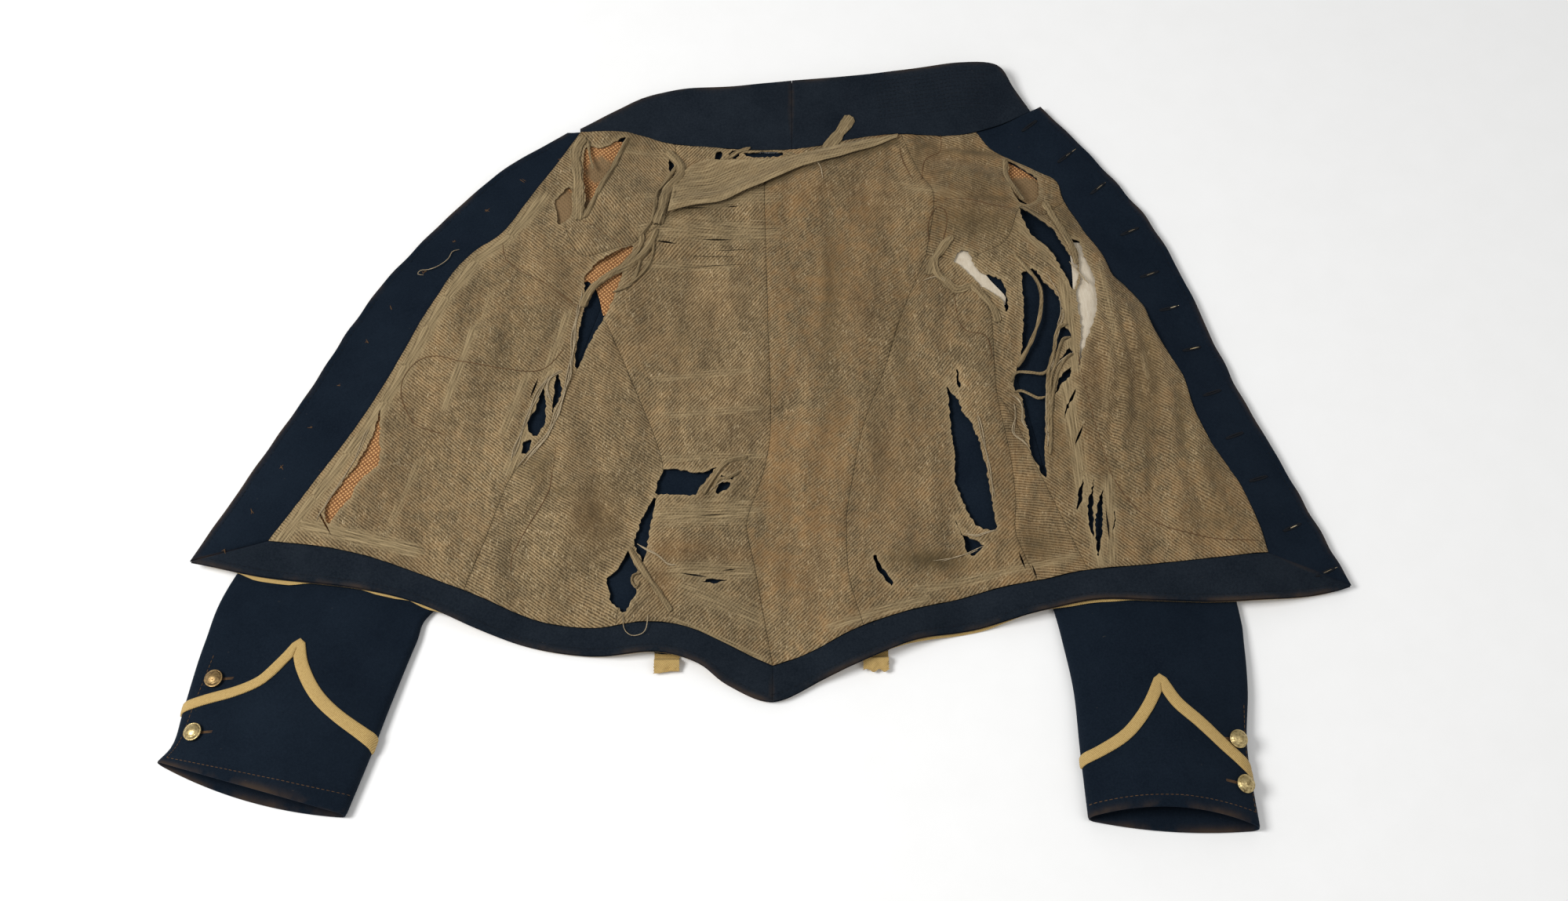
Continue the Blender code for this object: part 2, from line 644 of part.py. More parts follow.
def build_front_buttons(parent):
    """The row of buttons on the outside of the right front, which hang face down under its edge."""
    inset_line = EDGE_RIGHT + FRONT_BUTTON_INSET * side_normals(EDGE_RIGHT, right=False)
    run = np.concatenate([[0], np.cumsum(np.linalg.norm(np.diff(inset_line, axis=0), axis=1))])
    for number, along in enumerate(np.linspace(FRONT_BUTTON_END, run[-1] - FRONT_BUTTON_END, FRONT_BUTTONS), 1):
        spot = np.array([np.interp(along, run, column) for column in inset_line.T])
        ring = spot + 8.0 * np.array([(0, 0), (1, 0), (-1, 0), (0, 1), (0, -1)])
        top = shell_height(ring).min() - LAYER_GAP
        place = Matrix.Translation((*spot, top)) @ Matrix.Rotation(math.pi, 4, "X")
        build_button(f"front_button_{number}", place, parent)


def side_normals(edge, right):
    """Unit normals of an edge, to the right or the left of its direction."""
    way = np.gradient(edge, axis=0)
    normal = np.stack([way[:, 1], -way[:, 0]], 1) / np.linalg.norm(way, axis=1)[:, None]
    return normal if right else -normal


def build_shell(parent):
    side_right = seam(SIDE_RIGHT, NECK_LINE, HEM_LINE)
    side_left = seam(SIDE_LEFT, NECK_LINE, HEM_LINE)
    neck_part = lambda a, b: between(NECK_LINE, a, b)
    hem_part = lambda a, b: between(HEM_LINE, a, b)
    outlines = {
        "back": loop(neck_part(side_right[0], side_left[0]), side_left, hem_part(side_left[-1], side_right[-1]),
                     side_right[::-1]),
        "front_right": loop(EDGE_RIGHT, hem_part(EDGE_RIGHT[-1], side_right[-1]), side_right[::-1],
                            neck_part(side_right[0], EDGE_RIGHT[0])),
        "front_left": loop(EDGE_LEFT, hem_part(EDGE_LEFT[-1], side_left[-1]), side_left[::-1],
                           neck_part(side_left[0], EDGE_LEFT[0])),
    }
    for name, outline in outlines.items():
        sheet(name, outline, shell_height, WOOL, WOOL_BLUE, parent)


def build_facings(parent):
    edge_right = seam(FACING_EDGE_RIGHT, top=NECK_LINE)
    edge_left = seam(FACING_EDGE_LEFT, top=NECK_LINE)
    hem_edge = smooth(HEM_FACING_EDGE)
    lifted = lambda points: shell_height(points) + FACING_LIFT
    neck_part = lambda a, b: between(NECK_LINE, a, b)
    outlines = {
        "facing_right": loop(EDGE_RIGHT, edge_right[::-1], neck_part(edge_right[0], EDGE_RIGHT[0])),
        "facing_left": loop(EDGE_LEFT, edge_left[::-1], neck_part(edge_left[0], EDGE_LEFT[0])),
        "hem_facing_right": loop(between(HEM_LINE, EDGE_RIGHT[-1], HEM_POINT),
                                 between(hem_edge, HEM_FACING_POINT, hem_edge[0])),
        "hem_facing_left": loop(between(HEM_LINE, HEM_POINT, EDGE_LEFT[-1]),
                                between(hem_edge, hem_edge[-1], HEM_FACING_POINT)),
    }
    for name, outline in outlines.items():
        sheet(name, outline, lifted, FACING, WOOL_BLUE, parent)
    return edge_right, edge_left, hem_edge


def build_collar(parent):
    top = smooth(COLLAR_TOP)
    outline = loop(between(NECK_LINE, top[0], top[-1]), top[::-1])
    sheet("collar", outline, collar_height, WOOL, WOOL_BLUE, parent)
    lifted = lambda points: collar_height(points) + FACING_LIFT
    low_middle = place_on(NECK_LINE, np.array([7.0, 293.0]))[1]
    high_middle = place_on(top, np.array([7.0, 361.0]))[1]
    halves = {
        "collar_facing_right": loop(between(NECK_LINE, top[0], low_middle), between(top, high_middle, top[0])),
        "collar_facing_left": loop(between(NECK_LINE, low_middle, top[-1]), between(top, top[-1], high_middle)),
    }
    for name, half in halves.items():
        sheet(name, half, lifted, FACING, WOOL_BLUE, parent)
    return top


def build_lining(facing_right, facing_left, hem_edge, parent):
    """The torn lining, panel by panel."""
    centre = seam(CENTRE_SEAM, NECK_LINE, hem_edge)
    back_right, front_right = seam(BACK_SEAM_RIGHT, bottom=hem_edge), seam(FRONT_SEAM_RIGHT, bottom=hem_edge)
    head_back_right, head_front_right = seam(HEAD_BACK_RIGHT, NECK_LINE), smooth(HEAD_FRONT_RIGHT)
    head_front_right[-1] = facing_right[0]
    armhole_right = smooth(ARMHOLE_RIGHT)
    back_left, side_left = seam(BACK_SEAM_LEFT, bottom=hem_edge), seam(SIDE_SEAM_LEFT, bottom=hem_edge)
    gusset_left = seam(GUSSET_SEAM_LEFT, bottom=hem_edge)
    head_back_left, head_front_left = seam(HEAD_BACK_LEFT, NECK_LINE), seam(HEAD_FRONT_LEFT, facing_left)
    armhole_left = smooth(ARMHOLE_LEFT)
    hem_part = lambda a, b: between(hem_edge, a, b)
    neck_part = lambda a, b: between(NECK_LINE, a, b)
    outlines = {
        "lining_front_right": loop(facing_right, hem_part(facing_right[-1], front_right[-1]), front_right[::-1],
                                   armhole_right[::-1], head_front_right),
        "lining_side_right": loop(front_right, hem_part(front_right[-1], back_right[-1]), back_right[::-1],
                                  armhole_right[-1:]),
        "lining_back_right": loop(back_right, hem_part(back_right[-1], centre[-1]), centre[::-1],
                                  neck_part(centre[0], head_back_right[0]), head_back_right, armhole_right),
        "lining_head_right": loop(head_back_right, head_front_right, neck_part(facing_right[0], head_back_right[0])),
        "lining_back_left": loop(centre, hem_part(centre[-1], back_left[-1]), back_left[::-1],
                                 head_back_left[::-1], neck_part(head_back_left[0], centre[0])),
        "lining_side_left": loop(back_left, hem_part(back_left[-1], side_left[-1]), side_left[::-1],
                                 armhole_left[::-1]),
        "lining_gusset_left": loop(between(side_left, gusset_left[0], side_left[-1]),
                                   hem_part(side_left[-1], gusset_left[-1]), gusset_left[::-1]),
        "lining_front_left": loop(between(facing_left, head_front_left[0], facing_left[-1]),
                                  hem_part(facing_left[-1], gusset_left[-1]), gusset_left[::-1],
                                  between(side_left, gusset_left[0], side_left[0]),
                                  between(armhole_left, armhole_left[-1], head_front_left[-1]),
                                  head_front_left[::-1]),
        "lining_head_left": loop(head_back_left, between(armhole_left, armhole_left[0], head_front_left[-1]),
                                 head_front_left[::-1], between(facing_left, head_front_left[0], facing_left[0]),
                                 neck_part(facing_left[0], head_back_left[0])),
    }
    lifted = lambda points: shell_height(points) + LINING_LIFT + fold_height(points)
    cuts = [rip_outline(*rip) for rip in RIPS]
    for name, outline in outlines.items():
        sheet(name, outline, lifted, LINING, LINING_BROWN, parent, cuts, LINING_LATTICE)


def build_inner_layers(parent):
    """The canvas and cotton between shell and lining, which show through the rips."""
    lifted = lambda points: shell_height(points) + CANVAS_LIFT
    for name, rows, finish in (
        ("canvas_right", CANVAS_RIGHT, CANVAS_TAN),
        ("canvas_left", CANVAS_LEFT, CANVAS_TAN),
        ("wadding_front_left", WADDING_FRONT_LEFT, COTTON_WHITE),
        ("wadding_armhole_left", WADDING_ARMHOLE_LEFT, COTTON_WHITE),
    ):
        outline = loop(smooth(rows + rows[:1]))
        sheet(name, outline, lifted, CANVAS, finish, parent)


def build_bolsters(parent):
    """The two padded belt rests under the back hem, each with a braid end that shows below the hem."""
    for side, (middle, _, bottom_half, _, bottom) in BOLSTERS.items():
        outline = loop(smooth(bolster_outline(side), 30.0))
        crown = lambda points, o=outline: BOLSTER_CROWN * np.sqrt(ease(edge_distance(points, o) / bottom_half) + 0.1)
        sheet(f"bolster_{side}", outline, lambda points: np.full(len(points), BOLSTER_BASE), crown, WOOL_BLUE,
              parent, step=10.0)
        half, length, past = BOLSTER_END
        rings = []
        for down in np.linspace(past - length, past, 7):
            curl = BOLSTER_CURL * ease(down / past - 0.3)
            ends = [(middle - half, bottom - down), (middle + half, bottom - down)]
            rings.append([(*ends[0], curl), (*ends[1], curl), (*ends[1], curl + LACE), (*ends[0], curl + LACE)])
        skin(f"bolster_braid_{side}", rings, BRAID_YELLOW, parent)


def trimmed(edge):
    """A hem edge from the back point to a front, cut short at the point's mitre and at the front's braid."""
    edge = edge.copy()
    edge[0] += 3.5 * (edge[1] - edge[0]) / np.linalg.norm(edge[1] - edge[0])
    edge[-1] += 1.3 * LACE_WIDTH * (edge[-2] - edge[-1]) / np.linalg.norm(edge[-2] - edge[-1])
    return edge


def build_edge_braid(collar_top, parent):
    """The braid sewn on the outside along the fronts, hem and collar, a little proud of the edge."""
    inner, outer = 1.2 - LACE_WIDTH, 1.2
    runs = {
        "edge_braid_front_right": (EDGE_RIGHT[::-1], shell_height),
        "edge_braid_front_left": (EDGE_LEFT, shell_height),
        "edge_braid_hem_right": (trimmed(between(HEM_LINE, HEM_POINT, EDGE_RIGHT[-1])), shell_height),
        "edge_braid_hem_left": (trimmed(between(HEM_LINE, EDGE_LEFT[-1], HEM_POINT)[::-1])[::-1], shell_height),
        "edge_braid_collar": (collar_top, collar_height),
    }
    for name, (edge, height) in runs.items():
        strip_on(name, edge, inner, outer, height, parent)


def centre_on_origin(root):
    """Moves the jacket so that the middle of its box, at table height, is the origin."""
    bpy.context.view_layer.update()
    corners = np.array([obj.matrix_world @ Vector(corner) for obj in root.children for corner in obj.bound_box])
    low, high = corners.min(0), corners.max(0)
    root.location = (-(low[0] + high[0]) / 2, -(low[1] + high[1]) / 2, -low[2])


def main():
    for obj in list(bpy.data.objects):
        bpy.data.objects.remove(obj)
    root = bpy.data.objects.new("jacket", None)
    bpy.context.scene.collection.objects.link(root)
    build_shell(root)
    facing_right, facing_left, hem_edge = build_facings(root)
    collar_top = build_collar(root)
    build_lining(facing_right, facing_left, hem_edge, root)
    build_inner_layers(root)
    for side in SLEEVES:
        build_sleeve(side, root)
    build_front_buttons(root)
    build_bolsters(root)
    build_edge_braid(collar_top, root)
    centre_on_origin(root)


main()
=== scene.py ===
"""Looks of the cavalry shell jacket: cloth, torn lining, braid, buttons and threads, on the solids' own form.

Right and left are the wearer's. The tables are in millimetres on the table top, as in the part: x to the wearer's
left, y to the collar, z up. Pieces are made in these millimetres and moved to the frame's metres when they are added.
"""

import json
import math
from functools import partial

import bmesh
import bpy
import numpy as np
from mathutils import Matrix, Vector
from mathutils.geometry import delaunay_2d_cdt
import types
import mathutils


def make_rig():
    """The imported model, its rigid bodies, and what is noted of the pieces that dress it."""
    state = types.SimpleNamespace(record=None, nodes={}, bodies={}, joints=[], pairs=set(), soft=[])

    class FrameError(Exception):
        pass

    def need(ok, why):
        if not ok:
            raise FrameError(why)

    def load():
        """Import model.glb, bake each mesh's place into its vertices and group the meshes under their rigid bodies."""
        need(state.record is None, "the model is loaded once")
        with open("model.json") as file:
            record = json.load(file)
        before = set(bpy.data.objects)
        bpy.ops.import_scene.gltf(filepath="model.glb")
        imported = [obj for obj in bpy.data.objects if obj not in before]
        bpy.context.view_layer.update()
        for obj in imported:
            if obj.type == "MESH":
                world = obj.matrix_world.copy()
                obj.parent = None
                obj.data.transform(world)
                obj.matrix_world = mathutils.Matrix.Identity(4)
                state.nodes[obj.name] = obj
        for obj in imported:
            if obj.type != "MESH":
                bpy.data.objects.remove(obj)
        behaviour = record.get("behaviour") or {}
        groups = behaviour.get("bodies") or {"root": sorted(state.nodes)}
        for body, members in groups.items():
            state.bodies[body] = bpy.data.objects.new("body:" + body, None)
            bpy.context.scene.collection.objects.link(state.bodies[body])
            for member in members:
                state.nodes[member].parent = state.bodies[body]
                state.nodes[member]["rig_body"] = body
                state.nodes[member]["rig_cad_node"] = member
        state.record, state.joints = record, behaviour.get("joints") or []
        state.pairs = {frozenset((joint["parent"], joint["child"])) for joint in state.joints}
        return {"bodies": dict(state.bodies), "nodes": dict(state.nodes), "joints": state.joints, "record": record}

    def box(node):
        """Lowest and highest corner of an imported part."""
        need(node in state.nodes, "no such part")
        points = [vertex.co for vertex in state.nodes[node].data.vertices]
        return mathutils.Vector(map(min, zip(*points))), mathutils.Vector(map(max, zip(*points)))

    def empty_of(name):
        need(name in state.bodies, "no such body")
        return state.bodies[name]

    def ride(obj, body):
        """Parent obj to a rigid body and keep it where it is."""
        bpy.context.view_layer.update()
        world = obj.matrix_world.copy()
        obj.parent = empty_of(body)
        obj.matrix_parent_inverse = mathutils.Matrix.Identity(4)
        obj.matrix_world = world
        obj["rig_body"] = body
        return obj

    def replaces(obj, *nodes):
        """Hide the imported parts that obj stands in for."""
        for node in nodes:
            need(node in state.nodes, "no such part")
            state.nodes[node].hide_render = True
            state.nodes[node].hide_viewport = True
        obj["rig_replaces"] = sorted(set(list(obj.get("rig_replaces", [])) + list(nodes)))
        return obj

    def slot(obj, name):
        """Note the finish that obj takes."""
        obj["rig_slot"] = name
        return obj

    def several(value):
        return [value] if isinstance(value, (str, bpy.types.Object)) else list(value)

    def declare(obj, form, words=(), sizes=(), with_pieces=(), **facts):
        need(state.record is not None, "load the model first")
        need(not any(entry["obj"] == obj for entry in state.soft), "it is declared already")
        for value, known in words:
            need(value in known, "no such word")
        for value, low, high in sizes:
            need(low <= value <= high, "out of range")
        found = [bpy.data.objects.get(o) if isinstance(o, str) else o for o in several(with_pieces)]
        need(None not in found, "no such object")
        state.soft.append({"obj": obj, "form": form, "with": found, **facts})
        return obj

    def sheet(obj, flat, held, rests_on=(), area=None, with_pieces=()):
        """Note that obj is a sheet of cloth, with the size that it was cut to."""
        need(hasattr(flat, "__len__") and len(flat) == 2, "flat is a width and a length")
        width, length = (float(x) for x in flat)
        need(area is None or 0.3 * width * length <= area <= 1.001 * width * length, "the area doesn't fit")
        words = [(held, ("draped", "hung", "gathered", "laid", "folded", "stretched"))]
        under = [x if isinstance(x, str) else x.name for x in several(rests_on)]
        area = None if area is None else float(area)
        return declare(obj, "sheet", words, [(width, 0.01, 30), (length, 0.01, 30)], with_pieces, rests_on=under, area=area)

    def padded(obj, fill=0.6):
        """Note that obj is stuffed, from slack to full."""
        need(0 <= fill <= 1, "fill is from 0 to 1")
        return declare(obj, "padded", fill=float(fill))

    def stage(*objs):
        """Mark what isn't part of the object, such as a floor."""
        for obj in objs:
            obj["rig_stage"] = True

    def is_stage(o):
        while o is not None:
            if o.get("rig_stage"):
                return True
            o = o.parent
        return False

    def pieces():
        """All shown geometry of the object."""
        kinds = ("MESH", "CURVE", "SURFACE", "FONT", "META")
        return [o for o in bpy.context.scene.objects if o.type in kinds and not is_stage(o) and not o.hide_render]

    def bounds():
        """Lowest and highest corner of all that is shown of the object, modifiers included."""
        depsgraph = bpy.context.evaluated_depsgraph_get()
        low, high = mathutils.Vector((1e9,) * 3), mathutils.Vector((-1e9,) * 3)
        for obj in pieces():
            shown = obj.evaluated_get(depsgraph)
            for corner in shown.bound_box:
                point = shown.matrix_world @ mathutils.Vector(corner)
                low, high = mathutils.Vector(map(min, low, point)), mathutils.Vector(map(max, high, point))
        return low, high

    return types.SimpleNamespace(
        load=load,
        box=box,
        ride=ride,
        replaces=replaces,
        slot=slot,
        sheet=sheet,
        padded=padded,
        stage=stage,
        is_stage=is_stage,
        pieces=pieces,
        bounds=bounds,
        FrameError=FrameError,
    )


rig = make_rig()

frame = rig.load()
CAD_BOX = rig.bounds()

# A solid whose place in the tables is known ties them to the frame: the middle of its lowest edge
ANCHOR_NODE = "bolster_braid_right"
ANCHOR_PLAN = (-93.0, -194.0)
METRES = 0.001

# Camera, as in the photo: image size, focal length in pixels, tilt, and distance from the point that it looks at
IMAGE_SIZE = (1999, 1149)
FOCAL_PIXELS = 2600.0
CAMERA_TILT = 65.0
CAMERA_DISTANCE = 1.70
SENSOR = 36.0

# Cloth and trim thicknesses, and the height of each layer over the shell's underside
WOOL, FACING, LINING, CANVAS, LACE = 2.0, 1.8, 1.2, 0.8, 1.0
LACE_WIDTH = 9.5
SEAM_GAP = 0.3
LAYER_GAP = 0.6
BRAID_GAP = 1.4
FACING_LIFT = WOOL + 1.5
CANVAS_LIFT = WOOL + 1.4
LINING_LIFT = CANVAS_LIFT + CANVAS + LAYER_GAP

# How far what lies under the shell lifts it: the height, the flat margin round it, and the slope's length
SLEEVE_LIFT = (10.2, 10.0, 70.0)
BOLSTER_LIFT = (9.6, 6.0, 60.0)
EDGE_LACE_LIFT = (1.8, 12.0, 30.0)
BUTTON_LIFT = (7.6, 32.0, 60.0)
LIFT_BLEND = 4

# Distances between the points of a sheet, and along its edges
SHELL_LATTICE = 9.0
FACING_LATTICE = 5.0
LINING_LATTICE = 3.6
EDGE_STEP = 5.0
COARSE_STEP = 20.0
RIP_STEP = 2.4
RIM = 1.3
EDGE_RINGS = (1.3, 2.6, 4.0, 5.2, 6.4, 8.0)

# The shell's outline, collar to hem, x and y
FRONT_EDGE_RIGHT = [
    (-193, 307), (-251, 265), (-309, 201), (-353, 139), (-399, 48), (-444, -38), (-479, -105),
]
FRONT_EDGE_LEFT = [
    (231, 339), (275, 284), (320, 218), (347, 155), (378, 64), (415, -23), (457, -123),
]
NECK = [
    (-193, 307), (-140, 308), (-97, 299), (-45, 294), (0, 293), (35, 298), (70, 306), (105, 310),
    (150, 308), (190, 318), (231, 339),
]
COLLAR_TOP = [
    (-182, 311), (-150, 330), (-123, 345), (-90, 353), (-49, 355), (7, 361), (64, 367), (121, 375),
    (160, 381), (193, 379), (207, 358), (219, 339),
]
HEM = [
    (-479, -105), (-420, -118), (-347, -127), (-296, -139), (-244, -161), (-193, -177), (-143, -183),
    (-100, -181), (-68, -190), (-45, -206), (-9, -220), (29, -203), (56, -191), (106, -170),
    (157, -159), (208, -146), (252, -137), (300, -138), (350, -139), (400, -135), (440, -128), (457, -123),
]
HEM_POINT = (-9, -220)
SIDE_RIGHT = [(-100, 300), (-120, 236), (-150, 150), (-174, 72), (-205, -30), (-244, -161)]
SIDE_LEFT = [(108, 310), (130, 238), (166, 150), (196, 60), (218, -40), (240, -139)]

# Inner edges of the front facings and of the hem facing, which meet at the two corners
FACING_EDGE_RIGHT = [
    (-181, 307), (-204, 268), (-222, 240), (-245, 203), (-272, 180), (-297, 140), (-341, 40),
    (-391, -46), (-417, -88),
]
FACING_EDGE_LEFT = [
    (172, 312), (188, 291), (225, 270), (241, 260), (246, 240), (261, 210), (276, 184), (283, 161), (293, 151),
    (307, 132), (315, 104), (335, 64), (341, 33), (355, -3), (374, -38), (386, -73), (391, -97),
]
HEM_FACING_EDGE = [
    (-417, -88), (-372, -93), (-336, -101), (-307, -111), (-255, -131), (-200, -153), (-150, -160),
    (-112, -157), (-81, -160), (-46, -174), (-9, -191), (25, -179), (63, -160), (113, -143),
    (164, -129), (209, -121), (244, -113), (305, -107), (391, -97),
]
HEM_FACING_POINT = (-9, -191)
COLLAR_MIDDLE = ((7, 293), (7, 361))
COLLAR_RISE = 9.0
COLLAR_DEPTH = 72.0

# Seams of the lining, top to bottom
CENTRE_SEAM = [
    (-10, 293), (-17, 256), (-14, 126), (-12, 7), (-29, -61), (-30, -76), (-22, -116), (-9, -191),
]
BACK_SEAM_RIGHT = [(-151, 112), (-129, 62), (-107, 7), (-100, -22), (-106, -50), (-126, -105), (-134, -158)]
FRONT_SEAM_RIGHT = [(-166, 108), (-176, 62), (-201, 4), (-225, -35), (-241, -87), (-256, -131)]
ARMHOLE_RIGHT = [(-132, 189), (-146, 155), (-158, 118)]
HEAD_BACK_RIGHT = [(-97, 299), (-95, 257), (-102, 213), (-132, 189)]
HEAD_FRONT_RIGHT = [(-132, 189), (-173, 177), (-190, 209), (-184, 257), (-181, 307)]
BACK_SEAM_LEFT = [
    (123, 180), (101, 126), (84, 70), (66, 19), (53, -49), (51, -72), (52, -116), (63, -160),
]
SIDE_SEAM_LEFT = [(177, 110), (178, 46), (186, -8), (189, -50), (188, -84), (203, -122)]
GUSSET_SEAM_LEFT = [(178, 46), (192, 20), (204, -13), (221, -55), (244, -113)]
ARMHOLE_LEFT = [(123, 180), (150, 171), (172, 142), (177, 110)]
HEAD_BACK_LEFT = [(105, 310), (120, 265), (131, 235), (123, 180)]
HEAD_FRONT_LEFT = [(246, 238), (226, 222), (207, 229), (194, 196), (172, 181), (150, 171)]

# Rips through the lining, x and y round each
RIPS = [
    [(-171, 157), (-164, 167), (-153, 175), (-132, 187), (-133, 174), (-138, 161), (-142, 148), (-149, 126),
     (-156, 110), (-163, 95), (-169, 80), (-174, 68), (-176, 79), (-174, 100), (-171, 124), (-171, 143)],
    [(-190, 64), (-186, 48), (-190, 34), (-193, 28), (-192, 53)],
    [(-202, 53), (-200, 44), (-198, 26), (-200, 14), (-206, 5), (-212, 11), (-213, 18), (-208, 28), (-204, 44)],
    [(-217, -12), (-215, 0), (-209, 2), (-211, -9)],
    [(-174, 292), (-159, 291), (-145, 301), (-138, 300), (-145, 286), (-154, 259), (-165, 233), (-173, 217),
     (-174, 239), (-177, 266), (-177, 285)],
    [(-201, 232), (-199, 239), (-189, 249), (-186, 240), (-186, 218), (-196, 208), (-198, 221)],
    [(-103, 285), (-98, 283), (-95, 275), (-97, 263), (-101, 260), (-102, 273)],
    [(-336, 30), (-335, 12), (-333, -18), (-342, -29), (-349, -38), (-353, -48), (-362, -62), (-369, -74),
     (-373, -66),
     (-371, -52), (-357, -29), (-347, -12), (-340, 9)],
    [(-37, 290), (-26, 291), (-10, 291), (0, 289), (-1, 286), (-17, 285), (-31, 286)],
    [(-62, 282), (-59, 291), (-54, 289), (-58, 281)],
    [(-50, 286), (-46, 292), (-39, 291), (-43, 283)],
    [(-100, -19), (-88, -20), (-78, -22), (-70, -23), (-62, -21), (-56, -18), (-61, -25), (-68, -35),
     (-73, -43),
     (-85, -44), (-96, -43), (-105, -43), (-106, -42), (-104, -31), (-102, -27)],
    [(-52, -31), (-43, -33), (-44, -36), (-50, -40), (-56, -43), (-54, -36)],
    [(-52, -25), (-41, -27), (-43, -29), (-52, -27)],
    [(-107, -45), (-105, -47), (-107, -58), (-108, -69), (-110, -82), (-111, -95), (-113, -107), (-116, -102),
     (-122, -87), (-120, -80), (-117, -66), (-113, -58)],
    [(-126, -96), (-121, -102), (-117, -107), (-117, -114), (-122, -119), (-122, -124), (-118, -131),
     (-121, -138),
     (-126, -148), (-129, -150), (-132, -145), (-139, -139), (-140, -132), (-143, -118), (-137, -114),
     (-131, -106)],
    [(-65, -123), (-62, -121), (-54, -120), (-45, -120), (-54, -123), (-62, -124)],
    [(206, 227), (211, 225), (222, 217), (234, 207), (240, 195), (248, 179), (253, 171), (252, 156), (248, 144),
     (242, 158), (237, 168), (232, 180), (226, 188), (218, 194), (212, 202), (207, 214)],
    [(246, 196), (256, 196), (259, 182), (265, 163), (267, 136), (264, 117), (259, 103), (252, 85), (247, 66),
     (250, 88), (252, 104), (251, 121), (250, 137), (250, 144), (254, 154), (254, 172), (254, 185)],
    [(147, 172), (151, 182), (159, 182), (163, 171), (168, 163), (176, 159), (184, 156), (189, 147), (191, 131),
     (189, 122), (186, 134), (177, 142), (169, 148), (162, 157), (154, 165)],
    [(204, 162), (204, 129), (201, 89), (199, 80), (195, 68), (193, 56), (193, 49), (199, 39), (200, 21),
     (203, 6),
     (203, -9), (208, -20), (214, -33), (216, -30), (215, -16), (216, 3), (218, 28), (219, 46), (221, 61),
     (226, 80), (229, 91), (232, 108), (236, 123), (237, 131), (231, 144), (223, 152), (216, 164), (210, 163)],
    [(236, 112), (243, 102), (240, 96), (232, 92), (230, 84), (229, 92), (233, 104)],
    [(231, 75), (241, 88), (243, 82), (237, 77), (232, 72)],
    [(226, 43), (229, 55), (235, 64), (241, 69), (239, 60), (233, 54), (229, 47)],
    [(233, 20), (236, 34), (244, 50), (242, 42), (236, 30)],
    [(238, -62), (240, -48), (245, -34), (244, -48), (240, -60)],
    [(254, -33), (251, -44), (247, -58), (247, -74), (250, -84), (251, -70), (252, -52)],
    [(261, -40), (257, -52), (253, -68), (252, -86), (253, -101), (257, -84), (259, -62)],
    [(266, -80), (268, -69), (269, -62), (269, -70)],
    [(137, 61), (139, 51), (146, 42), (150, 28), (156, 21), (158, 11), (161, 5), (164, -10), (167, -28),
     (169, -45),
     (171, -63), (172, -79), (164, -78), (156, -73), (150, -61), (145, -46), (141, -35), (141, -15), (139, 13),
     (138, 38)],
    [(139, -64), (144, -78), (151, -84), (161, -91), (154, -99), (148, -96), (145, -84)],
    [(145, 72), (147, 68), (148, 54), (146, 57)],
    [(197, 281), (205, 277), (214, 270), (223, 263), (225, 253), (223, 241), (214, 232), (207, 234), (200, 244),
     (199, 260), (199, 276)],
    [(73, -100), (78, -110), (88, -125), (86, -127), (77, -116), (72, -105)],
]
RIP_ROUGHNESS = 0.8

# The largest folds of the lining: the ridge's height and half width, and x and y along it
FOLDS = [
    # height, half_width, path
    (7, 20, [(-100, 205), (60, 272)]),
    (3, 18, [(55, 235), (62, 90)]),
    (3, 16, [(82, 250), (80, 120)]),
    (4, 13, [(275, 150), (290, -40)]),
    (4, 13, [(300, 120), (325, -50)]),
    (3, 12, [(252, 60), (262, -10)]),
    (6, 16, [(150, 262), (200, 250)]),
    (5, 18, [(140, 235), (205, 210)]),
    (6, 22, [(-165, 250), (-120, 225)]),
    (5, 14, [(-185, 195), (-150, 180)]),
    (3, 14, [(-250, 90), (-300, -10)]),
    (3, 15, [(-205, -20), (-222, -110)]),
    (3, 12, [(70, -100), (190, -92)]),
]

